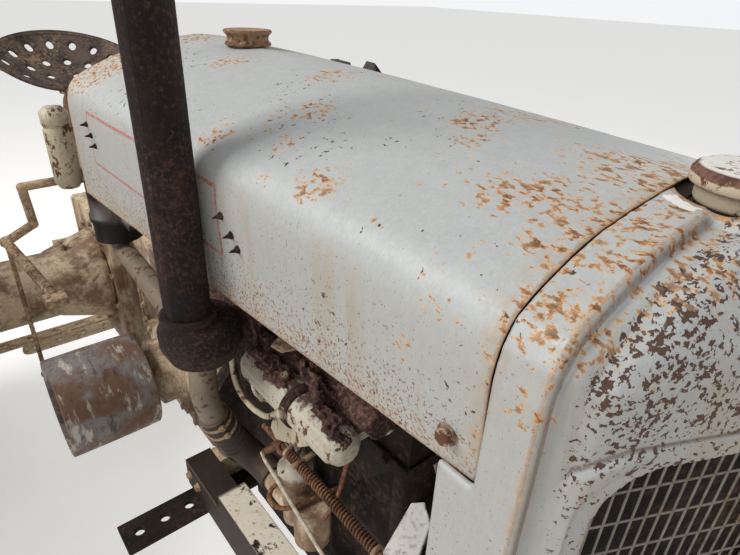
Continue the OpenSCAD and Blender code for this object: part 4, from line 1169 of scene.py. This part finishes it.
def make_pulley():
    """Belt pulley's drum, shaft and bolts."""
    drum = [
        (103, 0), (110, 0), (112.5, 1.5), (113, 12), (113.6, 60), (113.9, 95), (113.6, 130), (113, 178),
        (112.5, 188.5), (110, 190), (103, 190), (101, 188), (101, 136), (52, 136), (46, 132), (45, 100),
        (42, 98), (18, 98),
    ]
    inner_end = (-238, PULLEY_Y, PULLEY_Z)
    piece = turned("pulley_drum", drum, inner_end, RIGHTWARD, "pulley_face", 72, "belt_pulley")
    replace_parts(piece, "belt_pulley")
    shaft = [(24.5, 0), (24.5, 170), (22, 172)]
    turned("pulley_shaft", shaft, (-166, PULLEY_Y, PULLEY_Z), RIGHTWARD, "worn_steel", 40, "belt_pulley")
    heads = ring(-374, PULLEY_Y, PULLEY_Z, "x", 78, 6) + [(-337, PULLEY_Y, PULLEY_Z)]
    bolts("pulley_bolts", 9, [(head, RIGHTWARD) for head in heads], body="belt_pulley")


def make_tyres():
    """Tyres whose lugs have worn corners."""
    for node in ("front_tyre", "rear_tyre_left", "rear_tyre_right"):
        piece = copy_of(node, node + "_worn")
        apply_modifier(piece, "BEVEL", width=4 * MM, segments=2, angle_limit=math.radians(28))
        shade_round(45)
        settle(piece, node, BODY_OF[node])
        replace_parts(piece, node)


# Bolts and studs

def make_hood_studs():
    """Two groups of three dark pointed studs on each side and the peg by the nose."""
    hood = bpy.data.objects["hood_sheet"]
    stud = [(4, -1), (5.2, 0.6), (4.4, 2.2), (2.8, 4), (1.6, 9), (0.5, 12)]
    groups = [(-352, 1228), (-372, 1210), (-384, 1196), (136, 1240), (120, 1224), (108, 1208)]

    def on_hood(side, y, z):
        _, point, normal, _ = hood.closest_point_on_mesh(Vector((side * 270, y, z)) * MM)
        return point * 1000, normal

    for side, name in SIDES:
        for i, (y, z) in enumerate(groups):
            point, normal = on_hood(side, y, z)
            turned("hood_stud_" + name + "_" + str(i + 1), stud, point, normal, "stack_rust", 16)
        bolts("hood_peg_" + name, 8, [on_hood(side, -708, 1152)], "cream_paint")


def make_side_bolts(s, name):
    """Bolts that both sides have; s is the side's sign along x."""
    out, inward = (s, 0, 0), (-s, 0, 0)
    end = ring(s * 585, REAR_Y, REAR_Z, "x", 113, 8, 22.5)
    trumpet = [p for p in ring(s * 154, REAR_Y, REAR_Z, "x", 170, 10, 18) if p[1] < 1020]
    sump = [(s * 120, y, 548) for y in range(-548, -70, 43)]
    block = [(s * 120, y, 892) for y in range(-520, -80, 62)]
    rail = [(s * 230, y, z) for y in (-780, -738, -585) for z in (455, 515)]
    rail += [(s * 230, y, 470) for y in (-40, 4)]
    hub = ring(s * 898, REAR_Y, REAR_Z, "x", 72, 8)
    front_hub = ring(s * 9.5, FRONT_Y, FRONT_Z, "x", 66, 6)
    head = [(s * 98, y, 1010) for y in range(-525, -80, 63)]
    # name, size in mm, places, the way they face, finish, body
    sets = [
        ("axle_end_bolts_", 9, end, inward, "rusted_steel", "chassis"),
        ("trumpet_bolts_", 9, trumpet, out, "rusted_steel", "chassis"),
        ("sump_bolts_", 5.5, sump, out, "black_oil_and_shade", "chassis"),
        ("block_top_bolts_", 6, block, out, "black_oil_and_shade", "chassis"),
        ("rail_bolts_", 8, rail, out, "rusted_steel", "chassis"),
        ("hub_bolts_", 10, hub, out, "rusted_steel", "rear_wheel_" + name),
        ("front_hub_bolts_", 8, front_hub, out, "rusted_steel", "front_wheel"),
        ("head_nuts_", 8, head, UP, "black_oil_and_shade", "chassis"),
    ]
    for start, size, places, way, finish, body in sets:
        bolts(start + name, size, [(place, way) for place in places], finish, body)


def make_bolts():
    """Bolts of the cases, the rails, the wheels and the head."""
    seam = [((s * 140, 470, z), (s, 0, 0)) for s, _ in SIDES for z in range(520, 772, 48)]
    seam += [((-140, 470, z), RIGHTWARD) for z in (808, 852)]
    bolts("case_seam_bolts", 8, seam)
    bolts("bell_bolts", 7, [(p, REARWARD) for p in ring(0, -6, 630, "y", 183, 14, 12)])
    for s, name in SIDES:
        make_side_bolts(s, name)
    cross = [((s * 200, y, 412), (0, 0, -1)) for s, _ in SIDES for y in (-54, -10)]
    bolts("cross_bar_bolts", 9, cross)
    cover = [(x, 1040, z) for x in (-145, 145) for z in range(425, 800, 60)]
    cover += [(x, 1040, z) for x in (-88, -30, 30, 88) for z in (408, 806)]
    bolts("rear_cover_bolts", 7.5, [(p, REARWARD) for p in cover], "worn_casting")
    gearbox = [((-180, y, z), RIGHTWARD) for y in (132, 298) for z in (556, 694)]
    bolts("gearbox_bolts", 7, gearbox)
    case_top = [(x, y, 780) for x in (-22, 122) for y in (260, 330, 400, 600)]
    case_top += [(x, y, 884.7) for x in (-122, -58) for y in (250, 620)]
    bolts("case_top_bolts", 7, [(p, UP) for p in case_top])


mix_finishes()
set_camera()
set_lamps()
dress_nodes()
BOLT = model_bolt()

make_hood()
make_seam_channel()
make_nose()
make_shade_screens()
make_grille()
make_caps()
make_stack_foot()
make_exhaust_log()
make_scale()
make_intake()
make_governor_linkage()
make_breathing()
make_wiring()
make_radiator_strap()
make_seat_rim()
make_pulley()
make_tyres()
make_hood_studs()
make_bolts()
for round_node in (
        "intake_manifold", "exhaust_elbow", "exhaust_stack", "air_cleaner", "pre_cleaner", "final_drive",
        "transmission_case", "pulley_gearbox", "rear_wheel_left", "rear_wheel_right", "front_rim",
        "steering_wheel", "engine_block", "brake_linkage", "seat", "hitch_bars", "front_fork"):
    smooth_copy(round_node)
bpy.data.objects.remove(BOLT)

make_floor()

bpy.context.scene.view_settings.view_transform = "Standard"
